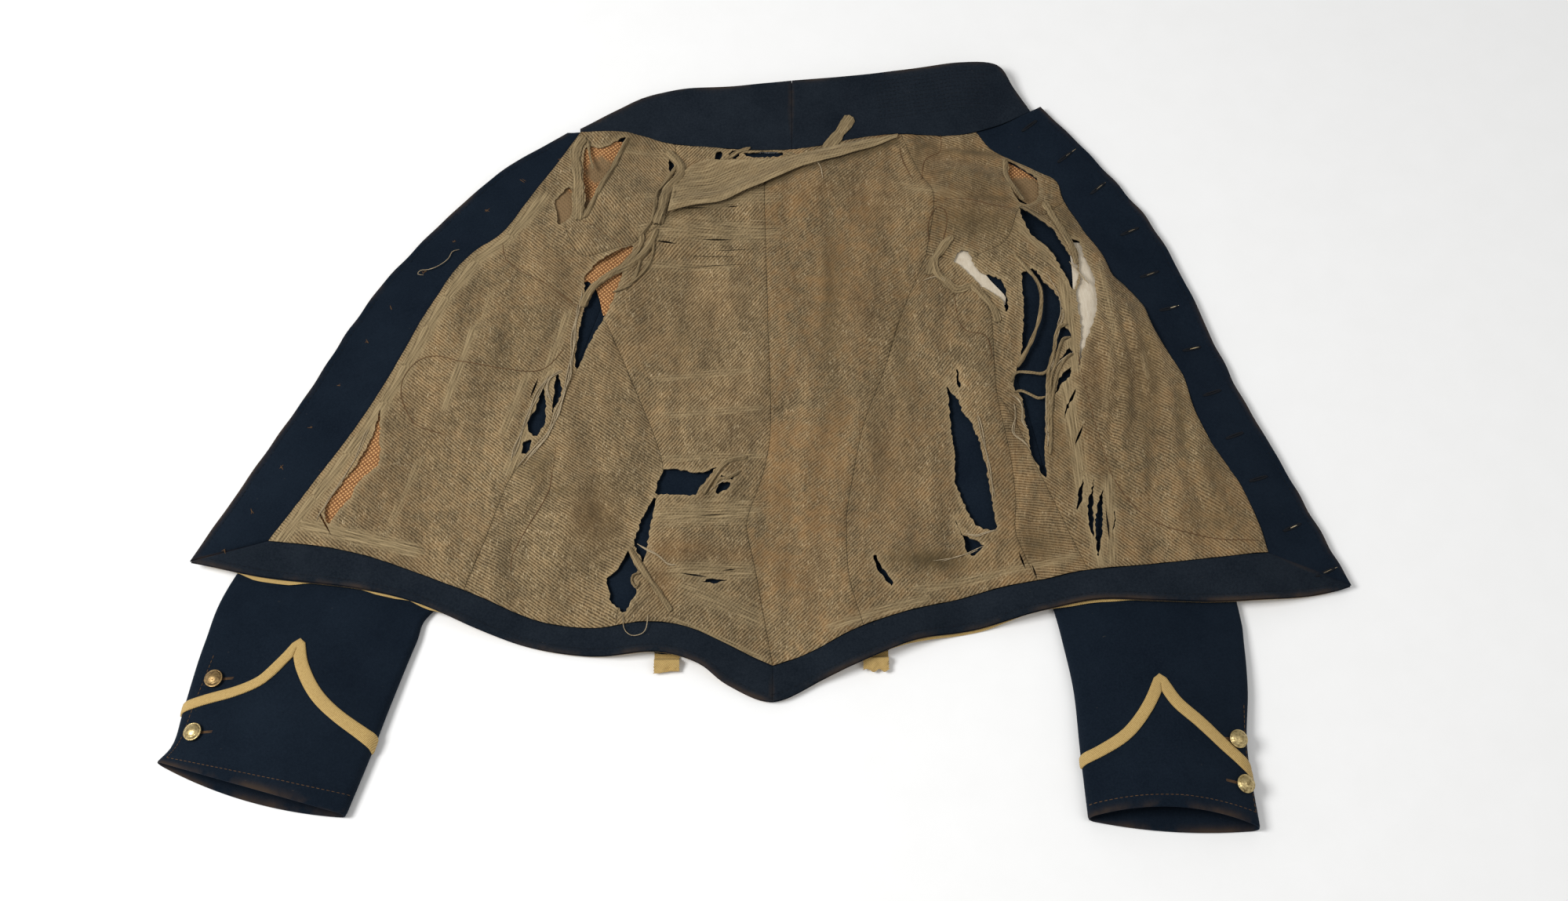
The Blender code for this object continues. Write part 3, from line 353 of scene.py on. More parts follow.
# Smaller creases, ridges up and troughs down
CREASES = [
    # height, half_width, path
    (2.2, 4, [(234, 240), (243, 219), (256, 200), (268, 182)]),
    (-1.2, 3, [(-104, 134), (-100, 107), (-86, 75)]),
    (1, 5, [(-92, 130), (-84, 92)]),
    (-1.3, 2.5, [(-182, 215), (-172, 212), (-137, 187)]),
    (-1.2, 3, [(-244, 192), (-238, 172), (-200, 148), (-172, 125)]),
    (1.1, 6, [(-230, 180), (-195, 158)]),
    (1.5, 6, [(-140, -25), (-148, -90)]),
    (1.2, 7, [(-172, -40), (-186, -120)]),
    (1.2, 7, [(-230, -50), (-255, -120)]),
    (1, 8, [(-280, 60), (-330, -50)]),
    (1, 7, [(-310, 110), (-350, 20)]),
    (1, 6, [(-395, -60), (-300, -95)]),
    (1, 8, [(-290, -70), (-230, -120)]),
    (1.1, 8, [(22, 240), (12, 110)]),
    (1.2, 9, [(35, 120), (40, 0)]),
    (1, 8, [(70, 60), (58, -40)]),
    (1, 9, [(20, -20), (10, -150)]),
    (1.2, 8, [(100, 130), (110, 20)]),
    (1.3, 7, [(120, 40), (122, -60)]),
    (-1.6, 2.6, [(103, 303), (115, 253)]),
    (-1.4, 2.6, [(140, 308), (139, 291), (122, 262)]),
    (1.6, 5, [(148, 290), (200, 276)]),
    (-1.3, 2.6, [(146, 119), (158, 105), (174, 98)]),
    (-1.2, 2.6, [(145, 144), (148, 118)]),
    (1.2, 8, [(300, -20), (330, -75)]),
    (1, 7, [(340, -30), (372, -90)]),
    (1, 8, [(-40, 20), (-70, -10)]),
    (0.9, 10, [(-60, 180), (-30, 100)]),
    (-1.7, 2.4, [(-187, 4), (-189, -21), (-195, -40), (-210, -75), (-218, -93), (-222, -118)]),
    (1.3, 6, [(-198, -10), (-206, -44), (-224, -80), (-232, -112)]),
    (-1.5, 4, [(-220, -28), (-207, -15), (-195, -5)]),
    (-1.8, 4, [(-193, -41), (-182, -50), (-169, -52), (-155, -45)]),
    (1.8, 7, [(-186, -30), (-170, -36), (-158, -30)]),
    (-1.4, 4, [(-145, -40), (-147, -58), (-168, -87)]),
    (-1.3, 3, [(-145, -117), (-157, -128), (-167, -138)]),
    (1.3, 4, [(-162, -141), (-147, -144), (-133, -151)]),
    (-1.7, 3, [(193, -79), (209, -61), (216, -54)]),
    (-1.9, 3, [(114, -108), (142, -102), (168, -85), (189, -83)]),
    (1.6, 5, [(110, -96), (140, -91), (162, -76)]),
    (2.4, 3.6, [(262, 150), (268, 110), (275, 66), (268, 31), (263, 6)]),
    (-1.8, 3.2, [(268, 148), (276, 108), (282, 66), (277, 28), (269, 2)]),
    (2.2, 3.6, [(274, 170), (281, 110), (289, 66), (284, 27), (275, -4)]),
    (-1.6, 3.4, [(286, 120), (296, 66), (291, 20), (284, -12)]),
    (2.4, 4.2, [(292, 128), (302, 57), (298, 13), (293, -39)]),
    (-1.6, 4, [(304, 100), (312, 54), (310, 10), (306, -24)]),
    (2.2, 5, [(311, 110), (322, 52), (321, 17), (321, -8)]),
    (1.8, 6, [(334, 40), (336, 13), (347, -42), (359, -58)]),
    (-1.4, 5, [(326, -22), (345, -64)]),
    (-1.3, 2.4, [(249, 70), (254, 38), (259, 10), (264, -13), (270, -33)]),
    (-1, 5, [(56, 199), (57, 159), (52, 93)]),
    (-1, 4, [(71, 190), (70, 154), (74, 110)]),
    (-0.8, 5, [(7, 220), (6, 93), (10, 30)]),
    (-1, 5, [(96, 250), (99, 115), (90, 60)]),
    (-1.4, 2.6, [(106, 305), (136, 304)]),
    (-1.4, 3, [(159, 257), (173, 244), (198, 232)]),
    (-1.1, 3, [(147, 295), (184, 292)]),
    (-1.7, 3, [(129, 231), (171, 237), (204, 224)]),
    (1.2, 4, [(160, 184), (179, 180), (193, 160), (193, 122), (187, 84)]),
]

# Worn bands of the lining, where its threads lie bare: both ends, half width and strength
WORN_BANDS = [
    # x0, y0, x1, y1, half_width, strength
    (-108, 234, -20, 240, 14, 0.5),
    (-112, 202, -18, 207, 15, 0.55),
    (-118, 170, -50, 173, 7, 0.5),
    (-104, 150, -30, 152, 5, 0.35),
    (-104, 64, -30, 72, 6, 0.5),
    (-96, 30, -24, 36, 6, 0.5),
    (-94, -10, -20, -8, 6, 0.5),
    (-98, -62, -34, -58, 15, 0.6),
    (-82, -114, -30, -110, 10, 0.6),
    (-70, -132, -24, -150, 14, 0.5),
    (-84, -158, -20, -184, 4, 0.7),
    (-263, 106, -282, 32, 5, 0.8),
    (-250, 140, -262, 90, 4, 0.5),
    (-216, 60, -232, 10, 6, 0.6),
    (-300, -20, -318, -72, 5, 0.5),
    (-184, 120, -200, 60, 6, 0.65),
    (-196, 64, -224, -24, 7, 0.75),
    (-390, -74, -300, -96, 8, 0.8),
    (272, 170, 279, 100, 3.5, 0.6),
    (278, 95, 266, 30, 3, 0.5),
    (302, 80, 304, 60, 4, 0.5),
    (236, 60, 246, -60, 8, 0.8),
    (246, -30, 254, -106, 7, 0.75),
    (266, -36, 264, -104, 6, 0.7),
    (212, 160, 206, 70, 6, 0.65),
    (240, 150, 244, 70, 7, 0.9),
    (20, 200, 15, 60, 6, 0.25),
    (60, 120, 60, 0, 6, 0.3),
    (110, 250, 150, 236, 8, 0.5),
    (205, 205, 250, 150, 6, 0.6),
    (-150, 290, -100, 285, 6, 0.5),
    (110, -128, 230, -104, 6, 0.6),
    (40, -160, 110, -138, 6, 0.7),
]
WORN_EDGE = (9.0, 8.0, 0.85)

# Dark stains of the lining, and painted shade along its creases and folds: middle, radii and strength
STAINS_AND_CREASE_SHADE = [
    # x, y, radius_x, radius_y, strength
    (246, 215, 16, 34, 0.6), (352, -20, 14, 50, 0.4), (150, 240, 50, 50, 0.3), (-152, -66, 16, 26, 0.5),
    (-182, -44, 13, 5, 0.7), (163, 289, 34, 5, 0.95), (125, 297, 14, 4, 0.8), (180, 236, 24, 5, 0.8),
    (160, 262, 36, 4, 0.7), (330, 20, 5, 46, 0.7), (298, 30, 4, 60, 0.6), (118, -104, 36, 9, 1.0),
    (205, -92, 20, 14, 0.6), (350, -70, 26, 14, 0.5),
    (232, 10, 14, 40, 0.4), (40, 120, 10, 90, 0.5), (308, 80, 8, 60, 0.6), (286, 40, 6, 50, 0.5),
    (345, 40, 12, 30, 0.6),
    (-60, -40, 40, 16, 0.2), (-204, -22, 14, 18, 0.6), (75, 20, 10, 70, 0.25), (100, 100, 10, 80, 0.4),
    (-230, 96, 26, 30, 0.25), (-140, 296, 10, 10, 0.6), (166, 210, 44, 17, 0.75), (118, 285, 8, 22, 0.6),
    (270, -36, 22, 22, 0.4), (180, 250, 30, 10, 0.5), (-88, 100, 8, 30, 0.4),
]

# Brown stains of the lining
BROWN_STAINS = [
    # x, y, radius_x, radius_y, strength
    (-154, -66, 22, 28, 0.7), (-84, -96, 30, 12, 1.0), (-98, -122, 12, 18, 0.9), (-40, -98, 18, 10, 0.7),
    (80, 235, 36, 40, 0.6),
    (150, 285, 46, 18, 0.9), (128, 262, 14, 26, 0.8), (170, 230, 40, 30, 0.7), (-96, 272, 10, 14, 0.9),
    (-40, 40, 46, 70, 0.35), (300, 60, 24, 50, 0.6), (262, 60, 18, 44, 0.7), (335, -60, 20, 14, 0.4),
    (20, -110, 34, 50, 0.55), (90, -20, 30, 80, 0.5), (60, 150, 34, 80, 0.55), (30, 250, 22, 10, 0.8),
    (-75, 274, 14, 9, 0.7), (-60, 140, 40, 40, 0.4), (-300, 40, 40, 60, 0.3), (216, 0, 12, 50, 0.6),
    (-178, 60, 10, 40, 0.4), (-70, 306, 40, 6, 0.7), (90, 308, 20, 5, 0.9),
]

# Pieces that show through the rips, x and y round their edges
CANVAS_RIGHT = [
    (-184, 292), (-150, 299), (-134, 285), (-126, 192), (-132, 150), (-147, 121), (-154, 120), (-158, 136),
    (-164, 150), (-174, 152), (-192, 120), (-250, 0),
    (-322, -80), (-396, -80), (-376, -40), (-330, 50), (-288, 135), (-262, 178), (-238, 205), (-215, 245),
]
CANVAS_LEFT = [(182, 292), (218, 268), (236, 246), (222, 232), (196, 250), (178, 272)]
WADDING_FRONT_LEFT = [
    (247, 196), (264, 190), (276, 140), (272, 100), (258, 62), (244, 66), (246, 120), (248, 160),
]
WADDING_ARMHOLE_LEFT = [(142, 182), (150, 190), (163, 188), (174, 160), (190, 138), (184, 128), (164, 142),
                        (148, 160)]

# Felt that lies on the canvas: middle, radii and strength
FELT = [
    # x, y, radius_x, radius_y, strength
    (-196, 226, 16, 26, 1.0),
    (-162, 268, 12, 16, 0.9),
    (-172, 226, 10, 16, 0.8),
    (212, 248, 20, 18, 1.0),
    (-100, 272, 10, 16, 0.4),
]

# Sleeves, armhole to cuff: both folds of the pressed tube, its height, and the crown of its upper side
SLEEVE_RIGHT = [
    # outer_x, outer_y, inner_x, inner_y, height, crown
    (-124, 226, -178, 74, 7.2, 0),
    (-215, 175, -182, 0, 7.4, 0),
    (-305, 85, -198, -60, 7.4, 0),
    (-385, -15, -236, -110, 7.4, 0),
    (-445, -118, -283, -146, 7.4, 0),
    (-461, -172, -293, -172, 9.0, 4),
    (-470, -224, -309, -224, 11.0, 9),
    (-475, -255, -320, -262, 11.5, 12),
    (-486, -270, -336, -312, 11.0, 13),
]
SLEEVE_LEFT = [
    (134, 228, 199, 62, 7.2, 0),
    (215, 170, 192, 0, 7.4, 0),
    (290, 80, 196, -60, 7.4, 0),
    (345, -20, 208, -110, 7.4, 0),
    (364, -139, 217, -146, 7.4, 0),
    (366, -172, 222, -172, 9.0, 4),
    (365, -212, 228, -212, 11.0, 8),
    (360, -260, 230, -260, 11.5, 11),
    (364, -322, 233, -314, 11.0, 12),
]
# How far the middle of each cuff edge reaches past a straight edge: under side, upper side
CUFF_BOW = {"right": (8.5, 2.5), "left": (5.0, -9.0)}
CUFF_BOW_REACH = 60.0
CUFF_STITCH_UP = 10.0
SLEEVE_COLUMNS = 44
SLEEVE_RUNS = [
    # from, to and step, up the sleeve from the cuff edge
    (0, 16, 1.0),
    (16, 190, 4.0),
    (190, 520, 11.0),
]

# Soft creases of the sleeves near the cuffs, each path as distance up from the cuff edge and offset from the middle
SLEEVE_CREASES = {
    "right": [
        # height, half_width, path
        (0.9, 9, [(150, -70), (96, -20)]),
        (0.8, 9, [(150, 60), (92, 20)]),
        (-0.6, 7, [(90, -72), (40, -40)]),
        (0.7, 9, [(60, 10), (12, 20)]),
        (-0.6, 8, [(120, 40), (60, 66)]),
        (0.6, 7, [(40, -50), (8, -56)]),
    ],
    "left": [
        (0.8, 9, [(140, 50), (96, 10)]),
        (0.8, 8, [(150, -40), (100, -20)]),
        (-0.6, 8, [(84, 50), (30, 34)]),
        (0.7, 9, [(56, -10), (12, -8)]),
        (-0.6, 7, [(100, -50), (50, -40)]),
    ],
}

# Cuff braid from the outer fold to the inner: share of half the width, and distance up from the cuff edge
CHEVRONS = {
    "right": [
        # share, up
        (-1, 66), (-0.76, 73), (-0.5, 79), (-0.28, 89), (-0.15, 106), (-0.07, 121), (0.06, 99), (0.28, 76),
        (0.58, 57), (1, 39),
    ],
    "left": [
        (-1, 38), (-0.68, 58), (-0.4, 76), (-0.13, 93), (0.03, 112), (0.21, 87), (0.43, 68), (0.73, 55),
        (1, 47),
    ],
}
# Its curve: step along it, with its heights divided by the scale; the gap at its point; and its two sides' heights
# over the sleeve
CHEVRON_STEP = 0.025
CHEVRON_SCALE = 60.0
CHEVRON_SLIT = 0.02
CHEVRON_LIFTS = (0.35, BRAID_GAP + LACE - 0.6)

# Buttons: radius and height pairs, back to crown, with a rolled rim and a ringed dome
BUTTON_PROFILE = [
    (2.0, 0.0), (2.0, 1.2), (6.4, 1.3), (7.1, 1.6), (7.5, 2.1), (7.4, 2.6), (7.0, 2.9), (6.6, 2.8), (6.3, 3.2),
    (5.6, 3.9), (5.2, 4.2), (4.9, 4.25), (4.6, 4.55), (3.4, 5.05), (1.8, 5.45), (0.8, 5.56),
    (0.05, 5.6),
]
BUTTON_SEGMENTS = 40
CUFF_BUTTONS = {
    # distance up from the cuff edge, and in from the outer fold
    "right": [(91, 20), (44, 16)],
    "left": [(64, 9), (29, 8)],
}
TARNISHED_BUTTON = "cuff_button_right_1"
FRONT_BUTTONS = 12
FRONT_BUTTON_INSET = 21.0
FRONT_BUTTON_END = 18.0
FRONT_BUTTON_ROOM = 8.0

# Belt bolsters under the back hem: middle, half width at the top and bottom, top and bottom
BOLSTERS = {"right": (-93, 9, 15, -118, -184), "left": (73, 9, 15, -108, -182)}
BOLSTER_BASE = 1.4
BOLSTER_CROWN = 6.4
BOLSTER_END = (10.0, 25.5, 11.5)
BOLSTER_CURL = 7.0
BOLSTER_ROUNDING = [(0.98, 16.0), (0.88, 9.0), (0.66, 5.0), (0.3, 4.0)]

# Where the edge braid shows past the edge: middle, half length and reach; elsewhere it is hidden
BRAID_HIDDEN = -0.7
BRAID_PEEKS = [
    # x, y, half_length, reach
    (-411, -117, 24, 2.8),
    (-318, -126, 17, 1.2),
    (-285, -138, 11, 1.2),
    (135, -156, 45, 1.5),
    (246, -134, 28, 1.3),
    (287, 266, 14, 1.3),
    (318, 215, 9, 1.2),
]

# Slits of the lining where only cross threads are left: both ends and half the width
SLITS = [
    # x0, y0, x1, y1, half_width
    (-97, 245, -75, 237, 1.2),
    (-93, 224, -65, 228, 0.9),
    (-50, 229, -39, 230, 0.7),
    (-72, 197, -45, 199, 0.8),
    (-111, 191, -93, 190, 0.9),
    (-87, 181, -35, 183, 0.4),
    (-64, 187, -23, 191, 0.4),
    (-95, 170, -27, 176, 0.4),
    (-80, 262, -96, 270, 1.0),
    (-84, -116, -60, -119, 0.8),
    (-50, -112, -38, -110, 0.6),
    (-70, -62, -46, -60, 0.5),
    (248, 15, 240, -3, 1.0),
    (189, -98, 194, -113, 0.9),
    (199, -108, 203, -121, 0.7),
    (262, -60, 263, -88, 0.8),
    (-206, 60, -212, 40, 0.9),
    (-380, -60, -366, -84, 0.8),
]

# A loose fold of worn lining below the neck seam: its free lower edge and its upper edge
FLAP_LOW = [
    (-101, 216), (-80, 226), (-55, 233), (-36, 243), (-10, 257), (14, 270), (32, 276), (56, 283), (80, 294),
    (101, 305),
]
FLAP_HIGH = [
    (-96, 258), (-76, 279), (-52, 281), (-28, 282), (0, 283), (30, 291), (60, 299), (84, 304), (102, 309),
]

# Loose strips of the lining: side, width, arch across it, and x and y along it
STRIPS = [
    ("right", 9.0, 0.8, [(-178, 301), (-185, 285), (-182, 262), (-180, 237), (-179, 213)]),
    ("right", 2.2, 0.8, [(-174, 297), (-172, 282), (-168, 265)]),
    ("right", 6.0, 1.5, [(-110, 200), (-118, 184), (-130, 170), (-148, 159), (-160, 149), (-167, 140),
                         (-172, 127)]),
    ("right", 4.5, 1.2, [(-125, 199), (-123, 193), (-126, 182), (-136, 170), (-154, 154), (-167, 144)]),
    ("right", 9.0, 2.2, [(-104, 290), (-93, 276), (-92, 262), (-100, 248), (-104, 234), (-106, 220),
                         (-110, 204)]),
    ("right", 3.2, 1.6, [(-96, 284), (-96, 272), (-104, 254), (-111, 238), (-112, 222), (-116, 206),
                         (-126, 194)]),
    ("right", 4.0, 1.4, [(-139, 301), (-146, 283), (-156, 256), (-166, 233), (-174, 215)]),
    ("right", 3.0, 0.8, [(-50, 283), (-44, 288), (-38, 292), (-30, 294)]),
    ("right", 2.4, 0.8, [(-122, 181), (-126, 163), (-133, 148), (-146, 141)]),
    ("right", 2.2, 0.8, [(-112, 194), (-114, 176), (-122, 160), (-134, 148)]),
    ("right", 5.0, 1.2, [(-125, -93), (-120, -103), (-114, -113), (-107, -123), (-98, -136), (-90, -149)]),
    ("right", 1.8, 0.8, [(-115, -116), (-121, -118), (-122, -123), (-118, -129), (-116, -124)]),
    ("right", 3.6, 1.0, [(-31, -9), (-44, -12), (-52, -18), (-60, -32), (-66, -43)]),
    ("right", 2.4, 0.9, [(-36, -22), (-46, -28), (-54, -30), (-58, -38)]),
    ("left", 10.0, 0.7, [(1, 286), (14, 280), (27, 280), (37, 291), (46, 304), (54, 316), (60, 326)]),
    ("left", 3.2, 1.0, [(198, 179), (206, 168), (216, 154), (220, 139), (217, 116), (210, 96), (202, 80),
                        (196, 69)]),
    ("left", 6.0, 0.5, [(228, 236), (238, 214), (246, 198), (250, 186), (252, 170)]),
    ("left", 4.5, 0.5, [(196, 282), (196, 262), (203, 246), (210, 236)]),
    ("left", 7.0, 0.4, [(146, 196), (140, 190), (134, 181), (128, 172), (124, 160)]),
    ("left", 7.0, 0.4, [(129, 175), (131, 162), (138, 153), (148, 144), (160, 148)]),
    ("left", 6.0, 0.4, [(160, 150), (168, 140), (178, 126), (182, 112)]),
    ("left", 2.2, 1.0, [(190, 55), (195, 64), (206, 64), (217, 63), (223, 69), (227, 82), (228, 91)]),
    ("left", 2.8, 0.7, [(240, 110), (234, 108), (230, 99), (228, 86), (223, 70), (221, 56), (220, 34),
                        (219, 8)]),
    ("left", 2.4, 0.7, [(242, 98), (236, 96), (232, 86), (228, 72), (224, 60), (222, 44), (221, 20)]),
    ("left", 2.6, 0.7, [(243, 82), (236, 76), (230, 66), (226, 52), (223, 34), (221, 10), (219, -12)]),
    ("left", 2.0, 0.9, [(192, 45), (198, 47), (205, 44), (212, 40), (218, 41)]),
]

# Bundles of bare threads: side, number, spread, and x and y along them
BUNDLES = [
    ("right", 4, 1.8, [(-173, 148), (-177, 111), (-179, 79), (-182, 53), (-189, 27), (-196, 6), (-212, -16),
                       (-222, -28)]),
    ("right", 3, 2.0, [(-196, 66), (-207, 39), (-218, 7), (-224, -21)]),
    ("right", 3, 1.6, [(-184, 68), (-196, 59), (-198, 47), (-195, 36)]),
    ("right", 1, 0.3, [(-281, 185), (-287, 183), (-290, 176), (-297, 169), (-306, 165), (-313, 164),
                       (-315, 160), (-310, 159)]),
    ("right", 2, 0.8, [(-123, -86), (-112, -94), (-101, -101), (-93, -108), (-86, -109)]),
    ("right", 1, 0.3, [(-128, -150), (-127, -163), (-121, -169), (-113, -168), (-109, -163), (-108, -152)]),
    ("right", 2, 1.6, [(-345, 14), (-352, -14), (-364, -38), (-376, -62), (-382, -80)]),
    ("right", 2, 1.6, [(-40, -24), (-50, -32), (-60, -40)]),
    ("left", 1, 0.3, [(27, 280), (32, 271), (34, 258)]),
    ("left", 1, 0.3, [(225, 160), (234, 141), (236, 124), (232, 110)]),
    ("left", 3, 1.6, [(236, 124), (236, 116), (232, 108), (229, 96), (226, 82), (221, 66)]),
    ("left", 2, 1.4, [(242, 108), (235, 108), (230, 100), (228, 80), (222, 61)]),
    ("left", 3, 1.6, [(242, 82), (237, 77), (228, 68), (223, 54), (221, 40), (220, 15)]),
    ("left", 3, 1.6, [(227, 91), (226, 77), (221, 62), (219, 44), (218, 20), (216, -7)]),
    ("left", 3, 1.4, [(189, 44), (194, 40), (198, 31), (198, 18), (202, 11)]),
    ("left", 2, 1.4, [(192, 37), (192, 23), (190, 9), (197, 0), (203, -9)]),
    ("left", 2, 1.2, [(160, 30), (164, 8), (168, -20), (172, -52)]),
    ("left", 2, 1.0, [(120, -104), (132, -101), (144, -98), (161, -92)]),
    ("left", 2, 1.0, [(144, -79), (155, -83), (162, -81), (172, -79)]),
    ("left", 1, 0.4, [(119, 155), (133, 157), (140, 150)]),
    ("left", 2, 0.8, [(246, 172), (256, 158), (262, 146)]),
]
THREAD_RADIUS = 0.42
STRIP_STEP = 2.5
STRIP_COLUMNS = 9
STRIP_THICK = 0.9

# Lines of stitching and turned-in edges of the lining, x and y along each
STITCHED = [
    [(-185, 87), (-204, 67), (-237, 68), (-270, 74), (-291, 80), (-307, 76), (-318, 61), (-320, 46), (-314, 28),
     (-302, 13), (-279, 5)],
    [(-244, 192), (-240, 175), (-226, 163), (-201, 148), (-177, 129), (-170, 123)],
    [(-182, 215), (-172, 212), (-155, 200), (-137, 187)],
    [(248, 84), (250, 62), (254, 38), (259, 10), (264, -13), (270, -33), (282, -54), (300, -71), (324, -81),
     (355, -87), (385, -88)],
    [(145, 144), (149, 115), (156, 105), (171, 100), (176, 79)],
    [(103, 303), (105, 282), (115, 253)],
    [(140, 310), (139, 291), (125, 279), (121, 255)],
    [(129, 231), (145, 233), (163, 232), (179, 227), (200, 225)],
    [(-188, -1), (-192, -43), (-206, -74), (-218, -101), (-219, -115)],
    [(129, 181), (136, 189), (141, 207), (141, 219), (135, 225), (129, 220), (125, 206), (126, 192)],
]
STITCH = (2.4, 1.5, 0.3)
SEAM_THREAD = 0.4

# Buttonholes of the left facing: where they are; the length and width of each and the length of the daylight in it;
# and which of them show daylight or a dull thread
BUTTONHOLES = [
    (220, 318), (250, 285), (277, 252), (302, 208), (316, 165), (330, 131), (346, 91), (359, 48), (374, 8),
    (390, -31),
    (414, -73), (437, -112),
]
BUTTONHOLE = (17.0, 1.8, 7.0)
OPEN_BUTTONHOLES = (5, 6, 10)
DULL_BUTTONHOLES = (1, 2, 3, 4, 11)

# Quilting rows of the collar's left end: first row's distance from the edge, step, number, and both ends in x
QUILTING = (9.0, 3.6, 11, 76.0, 196.0)

# The cuff's vent: distance in from the outer fold, and up from the edge
VENT = {"right": (9.5, 112.0), "left": (5.5, 92.0)}
CUFF_BUTTONHOLE = 11.0

# Waviness of the worn front edges: size and length
EDGE_WAVES = (0.7, 36.0)

# How far past the canvas and wadding the lining stays clear of them
LAYER_MARGIN = 2.0

# Step of the worn bands along the right facing's edge
WORN_EDGE_STEP = 40.0

# The loose fold's roll: height, distance from its free edge and width; where across the jacket it dies out and over
# what length; its waves; its gap over what it lies on; how worn it is; how far it is frayed; and the shadow below its
# edge: strength, drop and width
FLAP_ROLL = (4.2, 5.0, 8.0)
FLAP_ROLL_END = (95.0, 60.0)
FLAP_WAVES = [(0.55, 61, 22.0), (0.25, 62, 11.0)]
FLAP_GAP = 0.8
FLAP_WORN = 0.62
FLAP_FRAY = 2.0
FLAP_SHADOW = (0.95, 2.0, 3.5)

# How far rips are frayed, seams are dark, and wool is rubbed along its edges
FRAY_WIDTH = 2.6
SEAM_WIDTH = 1.0
RUBBED_REACH = 5.0
RUBBED_FACING = 2.5
RUBBED_CUFF = 4.0

# Sleeves: step of their stations, points round each fold; where their unevenness ends up the sleeve, over what length,
# and over what length at the cuff; depth and width of the stitched groove; how far the cuff edge is pressed, over what
# length
SLEEVE_STEP = 4.0
FOLD_POINTS = 7
SLEEVE_FADE = (190.0, 40.0, 12.0)
CUFF_GROOVE = (0.4, 1.2)
CUFF_PRESS = (0.55, 2.0)

# Bolsters: distance between points, rings and columns of the braid ends, and their seeds
BOLSTER_LATTICE = 3.5
BOLSTER_BRAID_MESH = (31, 15)
BOLSTER_SEEDS = {"right": 51, "left": 52}

# Edge braid: how much is cut off at the back point and at the fronts, steps along hem and collar, and its gap under
# the cloth
MITRE_CUT = 3.5
CORNER_CUT = 1.3 * LACE_WIDTH
HEM_BRAID_STEP = 6.0
COLLAR_BRAID_STEP = 12.0
EDGE_BRAID_GAP = 0.35

# Seeds of the rips, strips, thread bundles and stitches
RIP_SEED = 100
STRIP_SEED = 200
BUNDLE_SEED = 71
STITCH_SEED = 81

# Strips and stitches: points along a slit and round a buttonhole, step along seams, and how worn and stained the
# strips are
SLIT_POINTS = 9
HOLE_POINTS = 29
SEAM_STEP = 3.0
STRIP_WORN = 0.56
STRIP_STAIN = 0.45

# Radius of the threads round a buttonhole, of daylight and dull thread in it, of button threads and of cuff stitches
HOLE_THREAD = 0.75
LIGHT_THREAD = 0.55
DULL_THREAD = 0.4
BUTTON_THREAD = 0.32
CUFF_THREAD = 0.34

# Stitches of the cuff edge and of the vent: length and spacing
CUFF_STITCH = (2.4, 3.8)
VENT_STITCH = (2.6, 4.0)

# Unevenness of limp cloth, as sums of waves
LINING_WAVES = [
    # size, seed, length
    (0.55, 3, 46.0),
    (0.28, 4, 17.0),
]
LINING_RISE = 0.7
FACING_WAVES = [(0.16, 7, 60.0), (0.1, 8, 22.0)]
COLLAR_WAVES = [(0.12, 11, 30.0)]
PUCKER_WAVES = [(0.4, 21, 11.0)]
CANVAS_WAVES = [(0.12, 31, 12.0)]
SLEEVE_WAVES = [(0.25, 41, 55.0), (0.12, 42, 18.0)]
EDGE_SEEDS = {"right": 91, "left": 92}

# Along a seam the lining puckers within one reach of it, and is pulled down by a depth within another
PUCKER_REACH = 7.0
SEAM_DIP = (0.4, 3.0)

# The turned edge of a facing: height, place and width of its roll, then of the stitched groove beside it
EDGE_STITCH = 5.2
EDGE_ROLL = (0.35, 2.4, 1.8)
EDGE_DIP = (-0.45, EDGE_STITCH, 1.1)

# Cloth: how far its edges are pressed, as a share of its thickness; how close lattice points come to an edge, as a
# share of a step; the least share of its flat rectangle that a sheet fills; and the sharpest angle that is shaded
# smooth
EDGE_PRESS = 0.3
LATTICE_CLEAR = 0.45
RING_CLEAR = 0.7
LEAST_FILL = 0.31
SMOOTH_ANGLE = 60.0

# A braid's section: shares of the way across it, and how full it is there
BRAID_SECTION = [(0.0, 0.45), (0.08, 0.85), (0.3, 1.0), (0.5, 0.94), (0.7, 1.0), (0.92, 0.85), (1.0, 0.45)]

# Colours in linear light
YARN_DARK = (0.058, 0.038, 0.0165)
YARN_LIGHT = (0.328, 0.240, 0.128)
YARN_PALE = (0.54, 0.43, 0.265)
BARE_DARK = (0.096, 0.067, 0.031)
BARE_LIGHT = (0.388, 0.292, 0.158)
# Painted shade in the gaps between bare threads
SHADE_BETWEEN_THREADS = (0.022, 0.015, 0.008)
BROWN = (0.178, 0.090, 0.030)
# A dark olive for stains, for painted shade along creases and folds, and for dark seams
STAIN_AND_SHADE_DARK = (0.080, 0.056, 0.024)
WOOL_WORN = (0.052, 0.034, 0.022)
LINT = (0.10, 0.085, 0.06)
BRAID_DARK = (0.30, 0.185, 0.055)
BRAID_LIGHT = (0.60, 0.425, 0.165)
BRAID_FADED = (0.40, 0.27, 0.10)
CANVAS_DARK = (0.14, 0.05, 0.016)
CANVAS_LIGHT = (0.66, 0.36, 0.15)
FELT_DARK = (0.135, 0.084, 0.038)
FELT_LIGHT = (0.275, 0.180, 0.092)
COTTON_DARK = (0.47, 0.39, 0.28)
COTTON_LIGHT = (0.72, 0.65, 0.53)
COTTON_SOILED = (0.42, 0.33, 0.22)
PAPER_DARK = (0.90, 0.90, 0.89)
PAPER_LIGHT = (0.94, 0.94, 0.935)

# Ribs of the woven cloths: a wave texture of scale 1 has a rib in so many metres, and each cloth's ribs are so far
# apart
RIB_SPAN = 0.314
TWILL_RIB = 0.0023
WOOL_RIB = 0.0013
BRAID_RIB = 0.0011
CANVAS_RIB = 0.0026

# Streaks of bare threads: texture scale across and along them
BARE_ACROSS = 800.0
BARE_ALONG = 36.0

